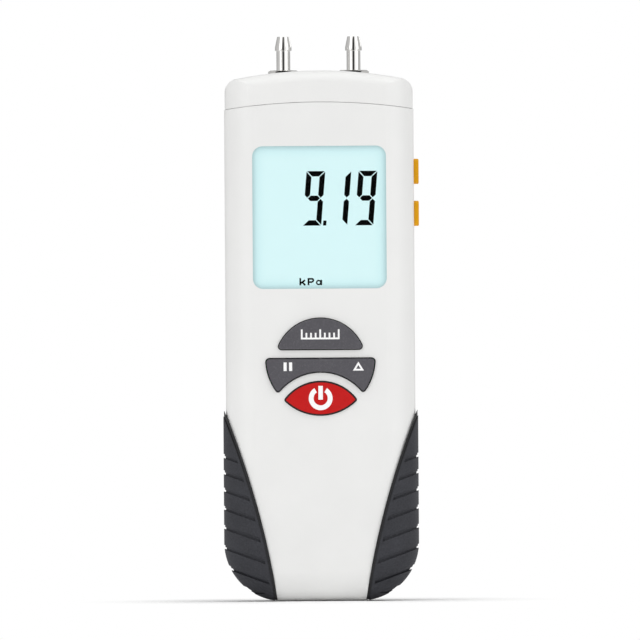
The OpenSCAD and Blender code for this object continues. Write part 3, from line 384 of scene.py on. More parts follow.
def painted_key(name, face, rim):
    """A key with a painted face. Round it runs a rim band, paler on the grey keys as painted highlight and
    darker on the red key as painted shade, then a black flank as painted shadow of the gap round the key.
    """
    finish = Finish(name, face, 0.42, ior=1.5)
    finish.set("Specular IOR Level", 0.25)
    depth = finish.math("SUBTRACT", finish.along("Y"), KEY_FACE_Y)
    blotch = finish.math("MULTIPLY", finish.math("SUBTRACT", finish.noise(0.35 * MM, 4.0), 0.5), 0.008 * MM)
    share = finish.math("DIVIDE", finish.math("ADD", depth, blotch), KEY_DEPTH_RANGE)
    painted_rim_at, gap_shadow_at = KEY_PAINTED_RIM_DEPTH / KEY_DEPTH_RANGE, KEY_GAP_SHADOW_DEPTH / KEY_DEPTH_RANGE
    # Face, then the rim band (painted highlight on grey keys, painted shade on the red key), then the flank's
    # painted gap shadow
    finish.colours(share, [(0, face), (painted_rim_at, rim), (gap_shadow_at * 0.8, rim), (gap_shadow_at * 1.1, KEY_GAP_SHADOW)])
    finish.grain(0.3 * MM, 0.025 * MM, detail=3.0)
    finish.gloss(finish.noise(5 * MM, 3.0), 0.08)
    return finish.material


def silicone(name, colour):
    finish = Finish(name, colour, 0.38, ior=1.41, subsurface_weight=0.35, subsurface_scale=1.5 * MM)
    finish.set("Subsurface Radius", (1.0, 0.9, 0.8))
    finish.grain(0.4 * MM, 0.006 * MM)
    finish.shade(finish.noise(7 * MM), 0.04)
    return finish.material


def metal(name, colour, roughness, stretch, depth=0.003 * MM):
    """Bare or plated metal with fine tool marks, stretched along what stretch makes small."""
    finish = Finish(name, colour, roughness, metallic=1.0)
    finish.grain(0.2 * MM, depth, detail=3.0, stretch=stretch)
    finish.gloss(finish.noise(3 * MM, 4.0), roughness * 0.35)
    finish.shade(finish.noise(4 * MM, 3.0), 0.04)
    return finish.material


def clear_plastic(name):
    finish = Finish(name, (0.985, 0.995, 1.0), 0.03, ior=1.49, transmission_weight=1.0)
    finish.gloss(finish.noise(14 * MM, 4.0), 0.015)
    return finish.material


WINDOW_HALF = (19.4 * MM, 20.7 * MM)
WINDOW_R = 3 * MM
DISPLAY_SHADE_REACH = 3.4 * MM  # how far in from the window's edge the glass carries painted shade from the housing's lip
# Colours of the lit glass from the window's edge inwards: the outer stops are painted shade from the
# housing's lip
DISPLAY_SHADES = [
    (0.0, (0.40, 0.57, 0.59)), (0.14, (0.50, 0.71, 0.73)), (0.34, (0.605, 0.84, 0.86)),
    (0.60, (0.665, 0.91, 0.925)), (1.0, (0.700, 0.935, 0.945)),
]


def lit_display(name):
    """The lit glass of the display: even in the middle, with painted shade from the housing's lip, deeper and
    bluer, towards the window's edge.
    """
    finish = Finish(name, (0.10, 0.13, 0.13), 0.25, ior=1.5)
    middle_z = (LENS_LOW.z + LENS_HIGH.z) / 2
    in_x = finish.math("SUBTRACT", finish.math("ABSOLUTE", finish.along("X")), WINDOW_HALF[0] - WINDOW_R)
    in_z = finish.math("ABSOLUTE", finish.math("SUBTRACT", finish.along("Z"), middle_z))
    in_z = finish.math("SUBTRACT", in_z, WINDOW_HALF[1] - WINDOW_R)
    round_part = finish.distance(finish.math("MAXIMUM", in_x, 0.0), finish.math("MAXIMUM", in_z, 0.0))
    flat_part = finish.math("MINIMUM", finish.math("MAXIMUM", in_x, in_z), 0.0)
    outside = finish.math("SUBTRACT", finish.math("ADD", round_part, flat_part), WINDOW_R)
    depth_in = finish.math("MULTIPLY", outside, -1 / DISPLAY_SHADE_REACH)
    patches = finish.math("MULTIPLY", finish.noise(11 * MM, 1.0), 0.03)
    finish.colours(finish.math("ADD", depth_in, patches), DISPLAY_SHADES, "Emission Color")
    finish.set("Emission Strength", 1.0)
    return finish.material


TRACK_PITCH = 1.0 * MM
TRACK_FIELD = 6.5 * MM  # size of an area whose tracks all run the same way
VIA_FIELD = 4.5 * MM
VIA_R = 0.4 * MM


def circuit_board(name):
    """Green solder mask over bundles of copper tracks, with tinned vias."""
    finish = Finish(name, (0.012, 0.16, 0.05), 0.3, ior=1.5)

    def cells(size, metric):
        made = finish.nodes.new("ShaderNodeTexVoronoi")
        made.distance = metric
        made.inputs["Scale"].default_value = 1 / size
        finish.links.new(finish.place.outputs["Object"], made.inputs["Vector"])
        return made

    pick = finish.nodes.new("ShaderNodeSeparateColor")
    finish.links.new(cells(TRACK_FIELD, "CHEBYCHEV").outputs["Color"], pick.inputs[0])
    upright = finish.math("GREATER_THAN", pick.outputs[0], 0.45)
    level = finish.math("SUBTRACT", 1.0, upright)
    in_upright, in_level = (
        finish.math("MULTIPLY", finish.along(axis), share) for axis, share in (("X", upright), ("Z", level))
    )
    across = finish.math("ADD", in_upright, in_level)
    place = finish.math("FRACT", finish.math("DIVIDE", across, TRACK_PITCH))
    track = finish.math("LESS_THAN", finish.math("ABSOLUTE", finish.math("SUBTRACT", place, 0.5)), 0.2)
    used = finish.math("GREATER_THAN", pick.outputs[1], 0.25)
    via = finish.math("LESS_THAN", cells(VIA_FIELD, "EUCLIDEAN").outputs["Distance"], VIA_R / VIA_FIELD)
    layer = finish.math("MAXIMUM", finish.math("MULTIPLY", finish.math("MULTIPLY", track, used), 0.5), via)
    mask, copper, tin = (0.010, 0.125, 0.040), (0.022, 0.215, 0.075), (0.60, 0.58, 0.50)
    finish.colours(layer, [(0.2, mask), (0.3, copper), (0.7, copper), (0.8, tin)])
    finish.bump(layer, 0.03 * MM)
    finish.gloss(finish.noise(4 * MM), 0.06)
    return finish.material


STRIPE_PITCH = 0.5 * MM


def contact_stripes(name):
    """A rubber contact strip: fine dark layers between pink insulating ones."""
    finish = Finish(name, (0.05, 0.04, 0.04), 0.55)
    waves = finish.math("SINE", finish.math("MULTIPLY", finish.along("X"), 2 * math.pi / STRIPE_PITCH))
    share = finish.math("ADD", finish.math("MULTIPLY", waves, 0.5), 0.5)
    finish.colours(share, [(0.45, (0.02, 0.02, 0.02)), (0.55, (0.42, 0.20, 0.20))])
    finish.grain(0.3 * MM, 0.01 * MM)
    return finish.material


def foam(name, colour):
    finish = Finish(name, colour, 0.95)
    cells = finish.nodes.new("ShaderNodeTexVoronoi")
    cells.inputs["Scale"].default_value = 1 / (0.5 * MM)
    finish.links.new(finish.place.outputs["Object"], cells.inputs["Vector"])
    finish.bump(cells.outputs["Distance"], 0.2 * MM)
    finish.shade(finish.noise(1.2 * MM, 4.0), 0.3)
    return finish.material


def make_finishes():
    return {
        "shell": moulded("shell", (0.845, 0.845, 0.835)),
        "grip": grip_rubber("grip_rubber"),
        # Each key's second colour is its rim band: paler as painted highlight on the grey keys, darker as
        # painted shade on the red key
        "grey_key": painted_key("grey_key", (0.092, 0.089, 0.100), (0.19, 0.186, 0.20)),
        "red_key": painted_key("red_key", (0.550, 0.006, 0.006), (0.36, 0.004, 0.004)),
        "yellow_key": moulded("yellow_key", (0.800, 0.372, 0.002), 0.48, 0.25 * MM, 0.02 * MM, 0.05, 0.25),
        "print": moulded("white_print", (0.97, 0.97, 0.97), 0.5, 0.2 * MM, 0.004 * MM),
        "lens": clear_plastic("clear_window"),
        "display": lit_display("lit_display"),
        "ink": moulded("display_ink", (0.001, 0.001, 0.0012), 0.8, 0.2 * MM, 0.002 * MM, 0.1, 0.05),
        "black": moulded("black_plastic", (0.012, 0.012, 0.014), 0.4, 0.3 * MM, 0.015 * MM, 0.1),
        "milky": moulded("milky_plastic", (0.80, 0.82, 0.77), 0.35, 0.4 * MM, 0.008 * MM, 0.03),
        "board": circuit_board("circuit_board"),
        "stripes": contact_stripes("contact_rubber"),
        "silicone": silicone("silicone", (0.60, 0.63, 0.65)),
        "seal": rubber("seal_rubber", (0.012, 0.012, 0.014), 0.5),
        "nickel": metal("nickel_plate", (0.86, 0.85, 0.83), 0.06, stretch=(1, 1, 6), depth=0.0008 * MM),
        "steel": metal("steel", (0.56, 0.57, 0.58), 0.26, stretch=(1, 1, 0.15)),
        "foam": foam("foam", (0.05, 0.05, 0.055)),
        "jacket": moulded("cell_jacket", (0.016, 0.050, 0.075), 0.22, 2.0 * MM, 0.004 * MM, 0.08),
        "jacket_band": moulded("cell_band", (0.62, 0.64, 0.66), 0.22, 2.0 * MM, 0.004 * MM, 0.04),
        "red_wire": moulded("red_wire", (0.52, 0.008, 0.006), 0.35, 0.5 * MM, 0.006 * MM, 0.05),
        "black_wire": moulded("black_wire", (0.010, 0.010, 0.012), 0.35, 0.5 * MM, 0.006 * MM, 0.05),
    }


# Carried-over CAD nodes

NODE_FINISH = {
    "front_housing": "shell",
    "rear_housing": "shell",
    "top_cap": "shell",
    "battery_door": "shell",
    "battery_latch": "shell",
    "left_grip": "grip",
    "right_grip": "grip",
    "display_lens": "lens",
    "lcd_frame": "black",
    "lcd_glass": "display",
    "lcd_segments": "ink",
    "backlight": "milky",
    "zebra_strip": "stripes",
    "main_board": "board",
    "board_chips": "black",
    "buzzer": "black",
    "board_screws": "steel",
    "key_mat": "silicone",
    "units_key": "grey_key",
    "hold_dif_key": "grey_key",
    "rocker_pin": "steel",
    "power_key": "red_key",
    "side_key_upper": "yellow_key",
    "side_key_lower": "yellow_key",
    "side_switches": "black",
    "upper_plunger": "milky",
    "lower_plunger": "milky",
    "pressure_sensor": "milky",
    "left_hose": "silicone",
    "right_hose": "silicone",
    "left_port": "nickel",
    "right_port": "nickel",
    "port_nuts": "nickel",
    "port_seals": "seal",
    "housing_screws": "steel",
    "door_pad": "foam",
    "battery_cells": "jacket",
    "battery_springs": "steel",
    "battery_contacts": "nickel",
    "red_lead": "red_wire",
    "black_lead": "black_wire",
}

# Width of the rounding along the edges of carried-over nodes, in millimetres
EDGE_ROUND = {
    "front_housing": 0.12,
    "rear_housing": 0.22,
    "top_cap": 0.12,
    "battery_door": 0.25,
    "battery_latch": 0.15,
    "left_grip": 0.2,
    "right_grip": 0.2,
    "display_lens": 0.2,
    "lcd_frame": 0.12,
    "lcd_glass": 0.2,
    "backlight": 0.2,
    "zebra_strip": 0.15,
    "units_key": 0.5,
    "hold_dif_key": 0.5,
    "power_key": 0.5,
    "side_key_upper": 0.35,
    "side_key_lower": 0.35,
    "left_port": 0.05,
    "right_port": 0.05,
    "buzzer": 0.3,
    "side_switches": 0.15,
    "upper_plunger": 0.15,
    "lower_plunger": 0.15,
    "pressure_sensor": 0.3,
    "main_board": 0.08,
    "battery_contacts": 0.08,
    "rocker_pin": 0.1,
}


def dress_node(name, finish):
    """Gives a CAD node its finish and rounds its edges."""
    node = NODES[name]
    node.data.materials.clear()
    node.data.materials.append(finish)
    if name not in EDGE_ROUND:
        return
    attribute = node.data.attributes.get("custom_normal")
    if attribute is not None:
        node.data.attributes.remove(attribute)
    for polygon in node.data.polygons:
        polygon.use_smooth = True
    weld = node.modifiers.new("weld", "WELD")
    weld.merge_threshold = 0.002 * MM
    flatten = node.modifiers.new("flatten", "DECIMATE")
    flatten.decimate_type = "DISSOLVE"
    flatten.angle_limit = math.radians(0.5)
    rounding = node.modifiers.new("round_edges", "BEVEL")
    rounding.width = EDGE_ROUND[name] * MM
    rounding.segments = 3
    rounding.limit_method = "ANGLE"
    rounding.angle_limit = math.radians(28)
    rounding.use_clamp_overlap = True
    weigh = node.modifiers.new("weigh_normals", "WEIGHTED_NORMAL")
    weigh.keep_sharp = True


# Mesh building

SHARP_ANGLE = math.radians(32)
WELD_DISTANCE = 0.0005 * MM


def cleaned(mesh):
    """Joins the points of a mesh that lie on each other and turns its faces outwards."""
    work = bmesh.new()
    work.from_mesh(mesh)
    bmesh.ops.remove_doubles(work, verts=work.verts, dist=WELD_DISTANCE)
    bmesh.ops.dissolve_degenerate(work, edges=work.edges, dist=WELD_DISTANCE)
    bmesh.ops.recalc_face_normals(work, faces=work.faces)
    work.to_mesh(mesh)
    work.free()
    return mesh


def mesh_of(name, verts, faces):
    mesh = bpy.data.meshes.new(name)
    mesh.from_pydata([tuple(v) for v in verts], [], faces)
    return cleaned(mesh)


def circle(radius, count):
    """Points round a circle, as (across, up)."""
    angles = [2 * math.pi * j / count for j in range(count)]
    return [(radius * math.cos(angle), radius * math.sin(angle)) for angle in angles]


def band_faces(i, count):
    """The faces between ring i of count points and the ring after it."""
    low, high = i * count, (i + 1) * count
    return [(low + j, low + (j + 1) % count, high + (j + 1) % count, high + j) for j in range(count)]


def ringed(name, rings, caps=True):
    """A mesh through rings of points, all as long as each other, with both ends closed."""
    count = len(rings[0])
    faces = []
    for i in range(len(rings) - 1):
        faces += band_faces(i, count)
    if caps:
        last = (len(rings) - 1) * count
        faces.append(tuple(reversed(range(count))))
        faces.append(tuple(last + j for j in range(count)))
    return mesh_of(name, [point for ring in rings for point in ring], faces)


def turned(name, profile, place, sides, axis="Z"):
    """A turned piece: profile is (radius, height) pairs along axis, Y or Z, from place, in metres."""
    rings = []
    for radius, height in profile:
        points = [(a, b, height) if axis == "Z" else (a, height, b) for a, b in circle(radius, sides)]
        rings.append([Vector(place) + Vector(point) for point in points])
    closed = profile[0] == profile[-1]
    return ringed(name, rings, caps=not closed)


def swept(name, path, radius, sides, bore=None):
    """A round tube along a path. With a bore it is hollow."""
    path = [Vector(p) for p in path]
    side = Vector((1, 0, 0))
    frames = []
    for i, point in enumerate(path):
        way = (path[min(i + 1, len(path) - 1)] - path[max(i - 1, 0)]).normalized()
        side = (side - way * side.dot(way)).normalized()
        frames.append((point, side, way.cross(side)))

    def rings(r):
        return [[p + u * a + v * b for a, b in circle(r, sides)] for p, u, v in frames]

    if bore is None:
        return ringed(name, rings(radius))
    outer, inner = rings(radius), rings(bore)
    return ringed(name, outer + inner[::-1] + [outer[0]], caps=False)


def rounded_box(name, low, high, r, segments=3):
    work = bmesh.new()
    bmesh.ops.create_cube(work, size=1)
    low, high = Vector(low), Vector(high)
    for vert in work.verts:
        vert.co = Vector([low[i] + (vert.co[i] + 0.5) * (high[i] - low[i]) for i in range(3)])
    edges = work.edges[:] + work.verts[:]
    bmesh.ops.bevel(work, geom=edges, offset=r, segments=segments, profile=0.5, affect="EDGES")
    mesh = bpy.data.meshes.new(name)
    work.to_mesh(mesh)
    work.free()
    return mesh


def slab(name, outline, y_front, y_back):
    """A flat outline of (x, z) points between two planes."""
    count = len(outline)
    verts = [(x, y, z) for y in (y_front, y_back) for x, z in outline]
    faces = [tuple(range(count)), tuple(reversed(range(count, 2 * count)))]
    faces += [(j, (j + 1) % count, count + (j + 1) % count, count + j) for j in range(count)]
    return mesh_of(name, verts, faces)


def merged(name, meshes):
    """Several meshes as one."""
    work = bmesh.new()
    for mesh in meshes:
        work.from_mesh(mesh)
    made = bpy.data.meshes.new(name)
    work.to_mesh(made)
    work.free()
    return made


def carved(base, cutter):
    """The base mesh with the cutter mesh taken off it."""
    piece = link(bpy.data.objects.new("base", base))
    tool = link(bpy.data.objects.new("cutter", cutter))
    change = piece.modifiers.new("carve", "BOOLEAN")
    change.operation = "DIFFERENCE"
    change.solver = "EXACT"
    change.object = tool
    bpy.context.view_layer.update()
    result = bpy.data.meshes.new_from_object(piece.evaluated_get(bpy.context.evaluated_depsgraph_get()))
    result.name = base.name
    bpy.data.objects.remove(piece)
    bpy.data.objects.remove(tool)
    return result


def add_piece(name, mesh, body, finish, slot, *replaced):
    """A piece of the scene in one finish, or in a list of them, riding on a body."""
    finishes = finish if isinstance(finish, list) else [finish]
    for material in finishes:
        mesh.materials.append(material)
    for polygon in mesh.polygons:
        polygon.use_smooth = True
    mesh.set_sharp_from_angle(angle=SHARP_ANGLE)
    mesh.name = name
    piece = link(bpy.data.objects.new(name, mesh))
    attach(piece, body)
    if replaced:
        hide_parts(*replaced)
    return piece


def solids(name):
    """The lowest and highest corner of each separate solid of a node, from left to right."""
    work = bmesh.new()
    work.from_mesh(NODES[name].data)
    bmesh.ops.remove_doubles(work, verts=work.verts, dist=WELD_DISTANCE)
    seen, found = set(), []
    for start in work.verts:
        if start in seen:
            continue
        group, stack = [], [start]
        seen.add(start)
        while stack:
            vert = stack.pop()
            group.append(vert.co.copy())
            for edge in vert.link_edges:
                other = edge.other_vert(vert)
                if other not in seen:
                    seen.add(other)
                    stack.append(other)
        low = Vector([min(p[i] for p in group) for i in range(3)])
        high = Vector([max(p[i] for p in group) for i in range(3)])
        found.append((low, high))
    work.free()
    return sorted(found, key=lambda corners: (corners[0].x, corners[0].z))


# Ports and screws


NUT_BORE_R = 3.05 * MM
NUT_COUNTERSINK = 0.2 * MM
NUT_SIDES = 96


def nut_mesh(name, place, low_z, high_z, apothem):
    """A hexagon nut with chamfered corners and a countersunk bore, with corners to the left and right."""
    flat_r, mouth_r = apothem * 0.985, NUT_BORE_R + NUT_COUNTERSINK

    def ring(radius, z):
        made = []
        for j in range(NUT_SIDES):
            a = 2 * math.pi * j / NUT_SIDES
            made.append(Vector((place.x + radius(a) * math.cos(a), place.y + radius(a) * math.sin(a), z(a))))
        return made

    def hexagon(angle):
        return apothem / math.cos((angle % (math.pi / 3)) - math.pi / 6)

    def drop(angle):
        return (hexagon(angle) - flat_r) * math.tan(math.radians(30))

    rings = [
        ring(lambda a: NUT_BORE_R, lambda a: low_z + NUT_COUNTERSINK),
        ring(lambda a: NUT_BORE_R, lambda a: high_z - NUT_COUNTERSINK),
        ring(lambda a: mouth_r, lambda a: high_z),
        ring(lambda a: flat_r, lambda a: high_z),
        ring(hexagon, lambda a: high_z - drop(a)),
        ring(hexagon, lambda a: low_z + drop(a)),
        ring(lambda a: flat_r, lambda a: low_z),
        ring(lambda a: mouth_r, lambda a: low_z),
    ]
    return ringed(name, rings + [rings[0]], caps=False)


def add_nuts(finish):
    for side, (low, high) in zip(("left", "right"), solids("port_nuts")):
        middle = (low + high) / 2
        apothem = (high.y - low.y) / 2
        mesh = nut_mesh("nut", middle, low.z, high.z, apothem)
        add_piece(f"{side}_nut", mesh, "housing", finish, "nickel_plate", "port_nuts")


def screw_mesh(middle, back_y, head_r, head_t, shank_r, tip_y, socket_r):
    """A pan-head screw that points to -Y, with a cross recess and a thread."""
    face = head_t * 0.35
    profile = [
        (0, 0), (head_r * 0.55, 0), (head_r * 0.86, -face * 0.35), (head_r, -face),
        (head_r, -head_t * 0.94), (head_r * 0.95, -head_t),
    ]
    length = back_y - head_t - tip_y
    pitch, core_r = shank_r * 0.55, shank_r * 0.74
    profile += [(core_r, -head_t)]
    turns = int((length - shank_r) / pitch)
    for i in range(turns):
        foot = -head_t - (i + 0.15) * pitch
        profile += [(core_r, foot), (shank_r, foot - pitch * 0.35), (core_r, foot - pitch * 0.7)]
    profile += [(shank_r * 0.6, -head_t - length + shank_r * 0.5), (0, -head_t - length)]
    body = turned("screw", profile, (middle.x, back_y, middle.z), axis="Y", sides=40)
    width, depth = socket_r * 0.34, head_t * 0.55
    for across in (0, 1):
        half = (socket_r, width / 2) if across else (width / 2, socket_r)
        low = (middle.x - half[0], back_y - depth, middle.z - half[1])
        high = (middle.x + half[0], back_y + head_t, middle.z + half[1])
        body = carved(body, rounded_box("socket", low, high, width * 0.2, 2))
    return body


SOCKET_SHARE = 0.62  # of the head's radius


def add_screws(name, finish, head_t, shank_r):
    for number, (low, high) in enumerate(solids(name), 1):
        head_r = (high.x - low.x) / 2
        mesh = screw_mesh((low + high) / 2, high.y, head_r, head_t, shank_r, low.y, head_r * SOCKET_SHARE)
        add_piece(f"{name[:-1]}_{number}", mesh, "housing", finish, "steel", name)


# Keys' legends: generic signs where the keys carry white print

PRINT_T = 0.05 * MM


def arc_points(middle, radius, start, end, count):
    angles = [math.radians(start + (end - start) * i / (count - 1)) for i in range(count)]
    return [(middle[0] + radius * math.cos(a), middle[1] + radius * math.sin(a)) for a in angles]


def sign(name, outlines, body, finish, slot="shell", front=KEY_FACE_Y):
    """Flat signs on a face at front, a key's if not given, from outlines in millimetres."""
    parts = [
        slab(name, [(x * MM, z * MM) for x, z in outline], front - PRINT_T / 2, front + PRINT_T)
        for outline in outlines
    ]
    return add_piece(name, merged(name, parts), body, finish, slot)


def box_outline(left, right, low, high):
    return [(left, low), (right, low), (right, high), (left, high)]


def ring_outline(middle, radius, width, start, end, count=48):
    outer = arc_points(middle, radius, start, end, count)
    return outer + arc_points(middle, radius - width, end, start, count)


def bar_outline(a, b, width):
    """A straight bar from a to b with square ends."""
    half = Vector((b[0] - a[0], b[1] - a[1])).normalized() * width / 2
    side = Vector((-half.y, half.x))
    ends = ((a, 1), (a, -1), (b, -1), (b, 1))
    return [(end[0] + way * side.x, end[1] + way * side.y) for end, way in ends]


def middle_of(name):
    """The middle of a key's face, as (x, z) in millimetres."""
    low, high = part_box(name)
    return (low.x + high.x) / 2 / MM, (low.z + high.z) / 2 / MM


# Sizes of the signs, in millimetres
POWER_RING_R = 3.45
POWER_RING_W = 1.4
POWER_GAP_HALF = 1.45
SCALE_HALF = 5.6
SCALE_LINE = 0.5
SCALE_TICKS = 9
UNIT_LINE = 0.5


def add_signs(finish):
    # Power: a ring that is open at the top, with a bar through the opening
    x, z = middle_of("power_key")
    opening = math.degrees(math.asin(POWER_GAP_HALF / (POWER_RING_R - POWER_RING_W / 2)))
    ring = ring_outline((x, z), POWER_RING_R, POWER_RING_W, 90 + opening, 450 - opening)
    sign("power_sign", [ring, box_outline(x - 0.65, x + 0.65, z - 0.4, z + 3.6)], "power_key", finish)
    # Units: a small scale with long and short ticks
    x, z = middle_of("units_key")
    foot = z - 1.6
    marks = [box_outline(x - SCALE_HALF, x + SCALE_HALF, foot, foot + SCALE_LINE)]
    for i in range(SCALE_TICKS):
        left = x - SCALE_HALF + i * (2 * SCALE_HALF - SCALE_LINE) / (SCALE_TICKS - 1)
        rise = 2.9 if i % 4 == 0 else 1.9
        marks.append(box_outline(left, left + SCALE_LINE, foot + SCALE_LINE, foot + rise))
    sign("units_sign", marks, "units_key", finish)
    # Hold: two pause bars; difference: a triangle
    x, z = middle_of("hold_dif_key")
    foot, height = z + 1.2, 2.5
    bars = [box_outline(x - left, x - left + 0.9, foot, foot + height) for left in (10.7, 9.1)]
    sign("hold_sign", bars, "hold_dif_key", finish)
    outer = [(x + 9.4, foot), (x + 12.6, foot), (x + 11.0, foot + height + 0.1)]
    centre = (sum(p[0] for p in outer) / 3, sum(p[1] for p in outer) / 3)
    inner = [(centre[0] + (px - centre[0]) * 0.42, centre[1] + (pz - centre[1]) * 0.42) for px, pz in outer]
    sides = [[outer[i], outer[(i + 1) % 3], inner[(i + 1) % 3], inner[i]] for i in range(3)]
    sign("difference_sign", sides, "hold_dif_key", finish)


def add_unit_mark(finish):
    """The display's unit, kPa, as ink on the glass."""
    low, high, w = 91.7, 93.8, UNIT_LINE
    bowl_r, eye_r = 0.66, 0.78
    marks = [
        bar_outline((-5.68, low), (-5.68, high), w), bar_outline((-5.5, low + 0.62), (-4.3, low + 1.5), w),
        bar_outline((-5.1, low + 0.92), (-4.25, low), w),
        bar_outline((-3.3, low), (-3.3, high), w), bar_outline((-3.3, high - w / 2), (-2.3, high - w / 2), w),
        bar_outline((-3.3, low + 0.92), (-2.3, low + 0.92), w),
        ring_outline((-2.3, high - bowl_r), bowl_r, w, -90, 90, 16),
        ring_outline((-0.35, low + eye_r), eye_r, 0.8 * w, 0, 359.9, 40),
        bar_outline((0.4, low), (0.4, low + 2 * eye_r), w),
    ]
    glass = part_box("lcd_glass")[0].y
    sign("unit_mark", marks, "housing", finish, "display_ink", glass - 0.05 * MM)


# Soft and small inner pieces


HOSE_R = 2.3 * MM
HOSE_BORE_R = 1.7 * MM
HOSE_START_X = 5.0 * MM
HOSE_SHIFT = 5.2 * MM
HOSE_BEND_Z = 125.5 * MM
HOSE_BEND_H = 15.5 * MM
HOSE_STEPS = 48


def eased(share):
    """A smooth step from 0 to 1, flat at both ends."""
    return share * share * (3 - 2 * share)


def add_hoses(finish):
    """Silicone hoses from the sensor's nipples to the ports' nipples."""
    for side, way in (("left", -1), ("right", 1)):
        low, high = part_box(f"{side}_hose")
        path = []
        for i in range(HOSE_STEPS + 1):
            z = low.z + (high.z - low.z) * i / HOSE_STEPS
            share = min(max((z - HOSE_BEND_Z) / HOSE_BEND_H, 0), 1)
            path.append((way * (HOSE_START_X + HOSE_SHIFT * eased(share)), 0, z))
        mesh = swept(f"{side}_tube", path, HOSE_R, 32, HOSE_BORE_R)
        add_piece(f"{side}_tube", mesh, "housing", finish, "silicone", f"{side}_hose")


DOME_H = 3.6
DOME_PROFILE = [
    # radius and height, in millimetres
    (3.2, 0), (3.15, 0.25), (2.9, 0.5), (2.55, 0.75), (2.25, 1.2), (2.05, 1.9), (1.85, 2.6), (1.7, 3.1),
    (1.55, 3.4), (1.3, 3.55), (0, DOME_H),
]
SHEET_T = 1.0 * MM
ROCKER_DOME_X = 9.5
ROCKER_DOME_DROP = 3.7


def add_key_mat(finish):
    """The silicone mat, with a soft dome under each key."""
    low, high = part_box("key_mat")
    back_y = high.y
    sheet_y = back_y - SHEET_T
    sheet = rounded_box("mat", (low.x, sheet_y, low.z), (high.x, back_y, high.z), 0.35 * MM)
    add_piece("mat_sheet", sheet, "housing", finish, "silicone", "key_mat")
    height = sheet_y - low.y
    units_z, power_z = middle_of("units_key")[1], middle_of("power_key")[1]
    rocker_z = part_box("hold_dif_key")[1].z / MM - ROCKER_DOME_DROP
    domes = [
        ("units_dome", 0, units_z, "units_press", 0.8),
        ("hold_dome", -ROCKER_DOME_X, rocker_z, "hold_dif_rock", 0.42),
        ("difference_dome", ROCKER_DOME_X, rocker_z, "hold_dif_rock", 0.42),
        ("power_dome", 0, power_z, "power_press", 0.8),
    ]
    for name, x, z, joint, travel in domes:
        foot = (x * MM, sheet_y, z * MM)
        profile = [(r * MM, -h / DOME_H * height) for r, h in DOME_PROFILE]
        mesh = turned(name, profile, foot, axis="Y", sides=48)
        dome = add_piece(name, mesh, "housing", finish, "silicone")
        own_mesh(dome)


def add_door_pad(finish):
    """The foam pad on the door's inside, slightly crowned between its edges."""
    low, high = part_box("door_pad")
    across, up = 24, 20
    crown_reach, edge_share = 1.2 * MM, 0.55
    verts, faces = [], []
    for side in (0, 1):
        for i in range(across + 1):
            for j in range(up + 1):
                u, v = i / across, j / up
                edge = min(u, 1 - u) * (high.x - low.x), min(v, 1 - v) * (high.z - low.z)
                swell = 1 - max(0, 1 - min(edge) / crown_reach) ** 2
                depth = (high.y - low.y) * (edge_share + (1 - edge_share) * swell)
                y = high.y - depth if side == 0 else high.y
                verts.append((low.x + u * (high.x - low.x), y, low.z + v * (high.z - low.z)))
    row = up + 1
    count = (across + 1) * row
    for side in (0, 1):
        for i in range(across):
            for j in range(up):
                a = side * count + i * row + j
                faces.append((a, a + row, a + row + 1, a + 1))
    rim = [i * row for i in range(across + 1)] + [across * row + j for j in range(1, up + 1)]
    rim += [i * row + up for i in range(across - 1, -1, -1)] + [j for j in range(up - 1, 0, -1)]
    for a, b in zip(rim, rim[1:] + rim[:1]):
        faces.append((a, b, count + b, count + a))
    pad = add_piece("foam_pad", mesh_of("foam_pad", verts, faces), "battery_door", finish, "foam", "door_pad")


LEAD_BEND_R = 3.0 * MM
JOINT_PROFILE = [(0, 0.0), (1.15, 0.0), (1.1, 0.15), (0.9, 0.45), (0.72, 0.75), (0, 0.8)]


def add_leads(finishes, solder):
    """The two battery leads, each with its solder joint on the contact."""
    for name, key in (("red_lead", "red_wire"), ("black_lead", "black_wire")):
        low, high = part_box(name)
        x, radius, bend = (low.x + high.x) / 2, (high.x - low.x) / 2, LEAD_BEND_R
        top, end = high.z - radius, high.y - radius
        path = [(x, low.y + t * (end - bend - low.y), top) for t in (0, 0.2, 0.4, 0.6, 0.8)]
        for i in range(13):
            a = math.radians(90 - 90 * i / 12)
            path.append((x, end - bend + bend * math.cos(a), top - bend + bend * math.sin(a)))
        path += [(x, end, low.z + 0.8 * MM), (x, end, low.z)]
        colour = name.removesuffix("_lead")
        wire = swept(name, path, radius * 0.98, 20)
        add_piece(f"{colour}_wire", wire, "housing", finishes[key], key, name)
        joint = turned("joint", [(r * MM, h * MM) for r, h in JOINT_PROFILE], (x, end, low.z), sides=32)
        add_piece(f"{colour}_joint", joint, "housing", solder, "steel")


CELL_SIDES = 64
UPRIGHT_CELL = 2  # the middle one of the three stands the other way up
CELL_PROFILE = [
    # radius, height from the flat end, and the finish: 0 jacket, 1 band, 2 metal, 3 insulating ring
    (0, 0.12, 2), (3.5, 0.12, 2), (3.7, 0.0, 2), (4.4, 0.0, 2), (4.5, 0.1, 0), (4.6, 0.0, 0),
    (4.95, 0.04, 0), (5.15, 0.16, 0), (5.25, 0.4, 0), (5.25, 8.0, 0), (5.25, 20.0, 0), (5.25, 33.0, 0),
    (5.25, 33.05, 1), (5.25, 36.0, 1), (5.25, 36.05, 0), (5.25, 43.25, 0), (5.15, 43.5, 0),
    (4.95, 43.64, 0), (4.5, 43.7, 0), (4.3, 43.6, 3), (2.6, 43.55, 3), (2.45, 43.35, 2), (2.1, 43.35, 2),
    (1.9, 43.5, 2), (1.9, 44.3, 2), (1.75, 44.47, 2), (0, 44.5, 2),
]


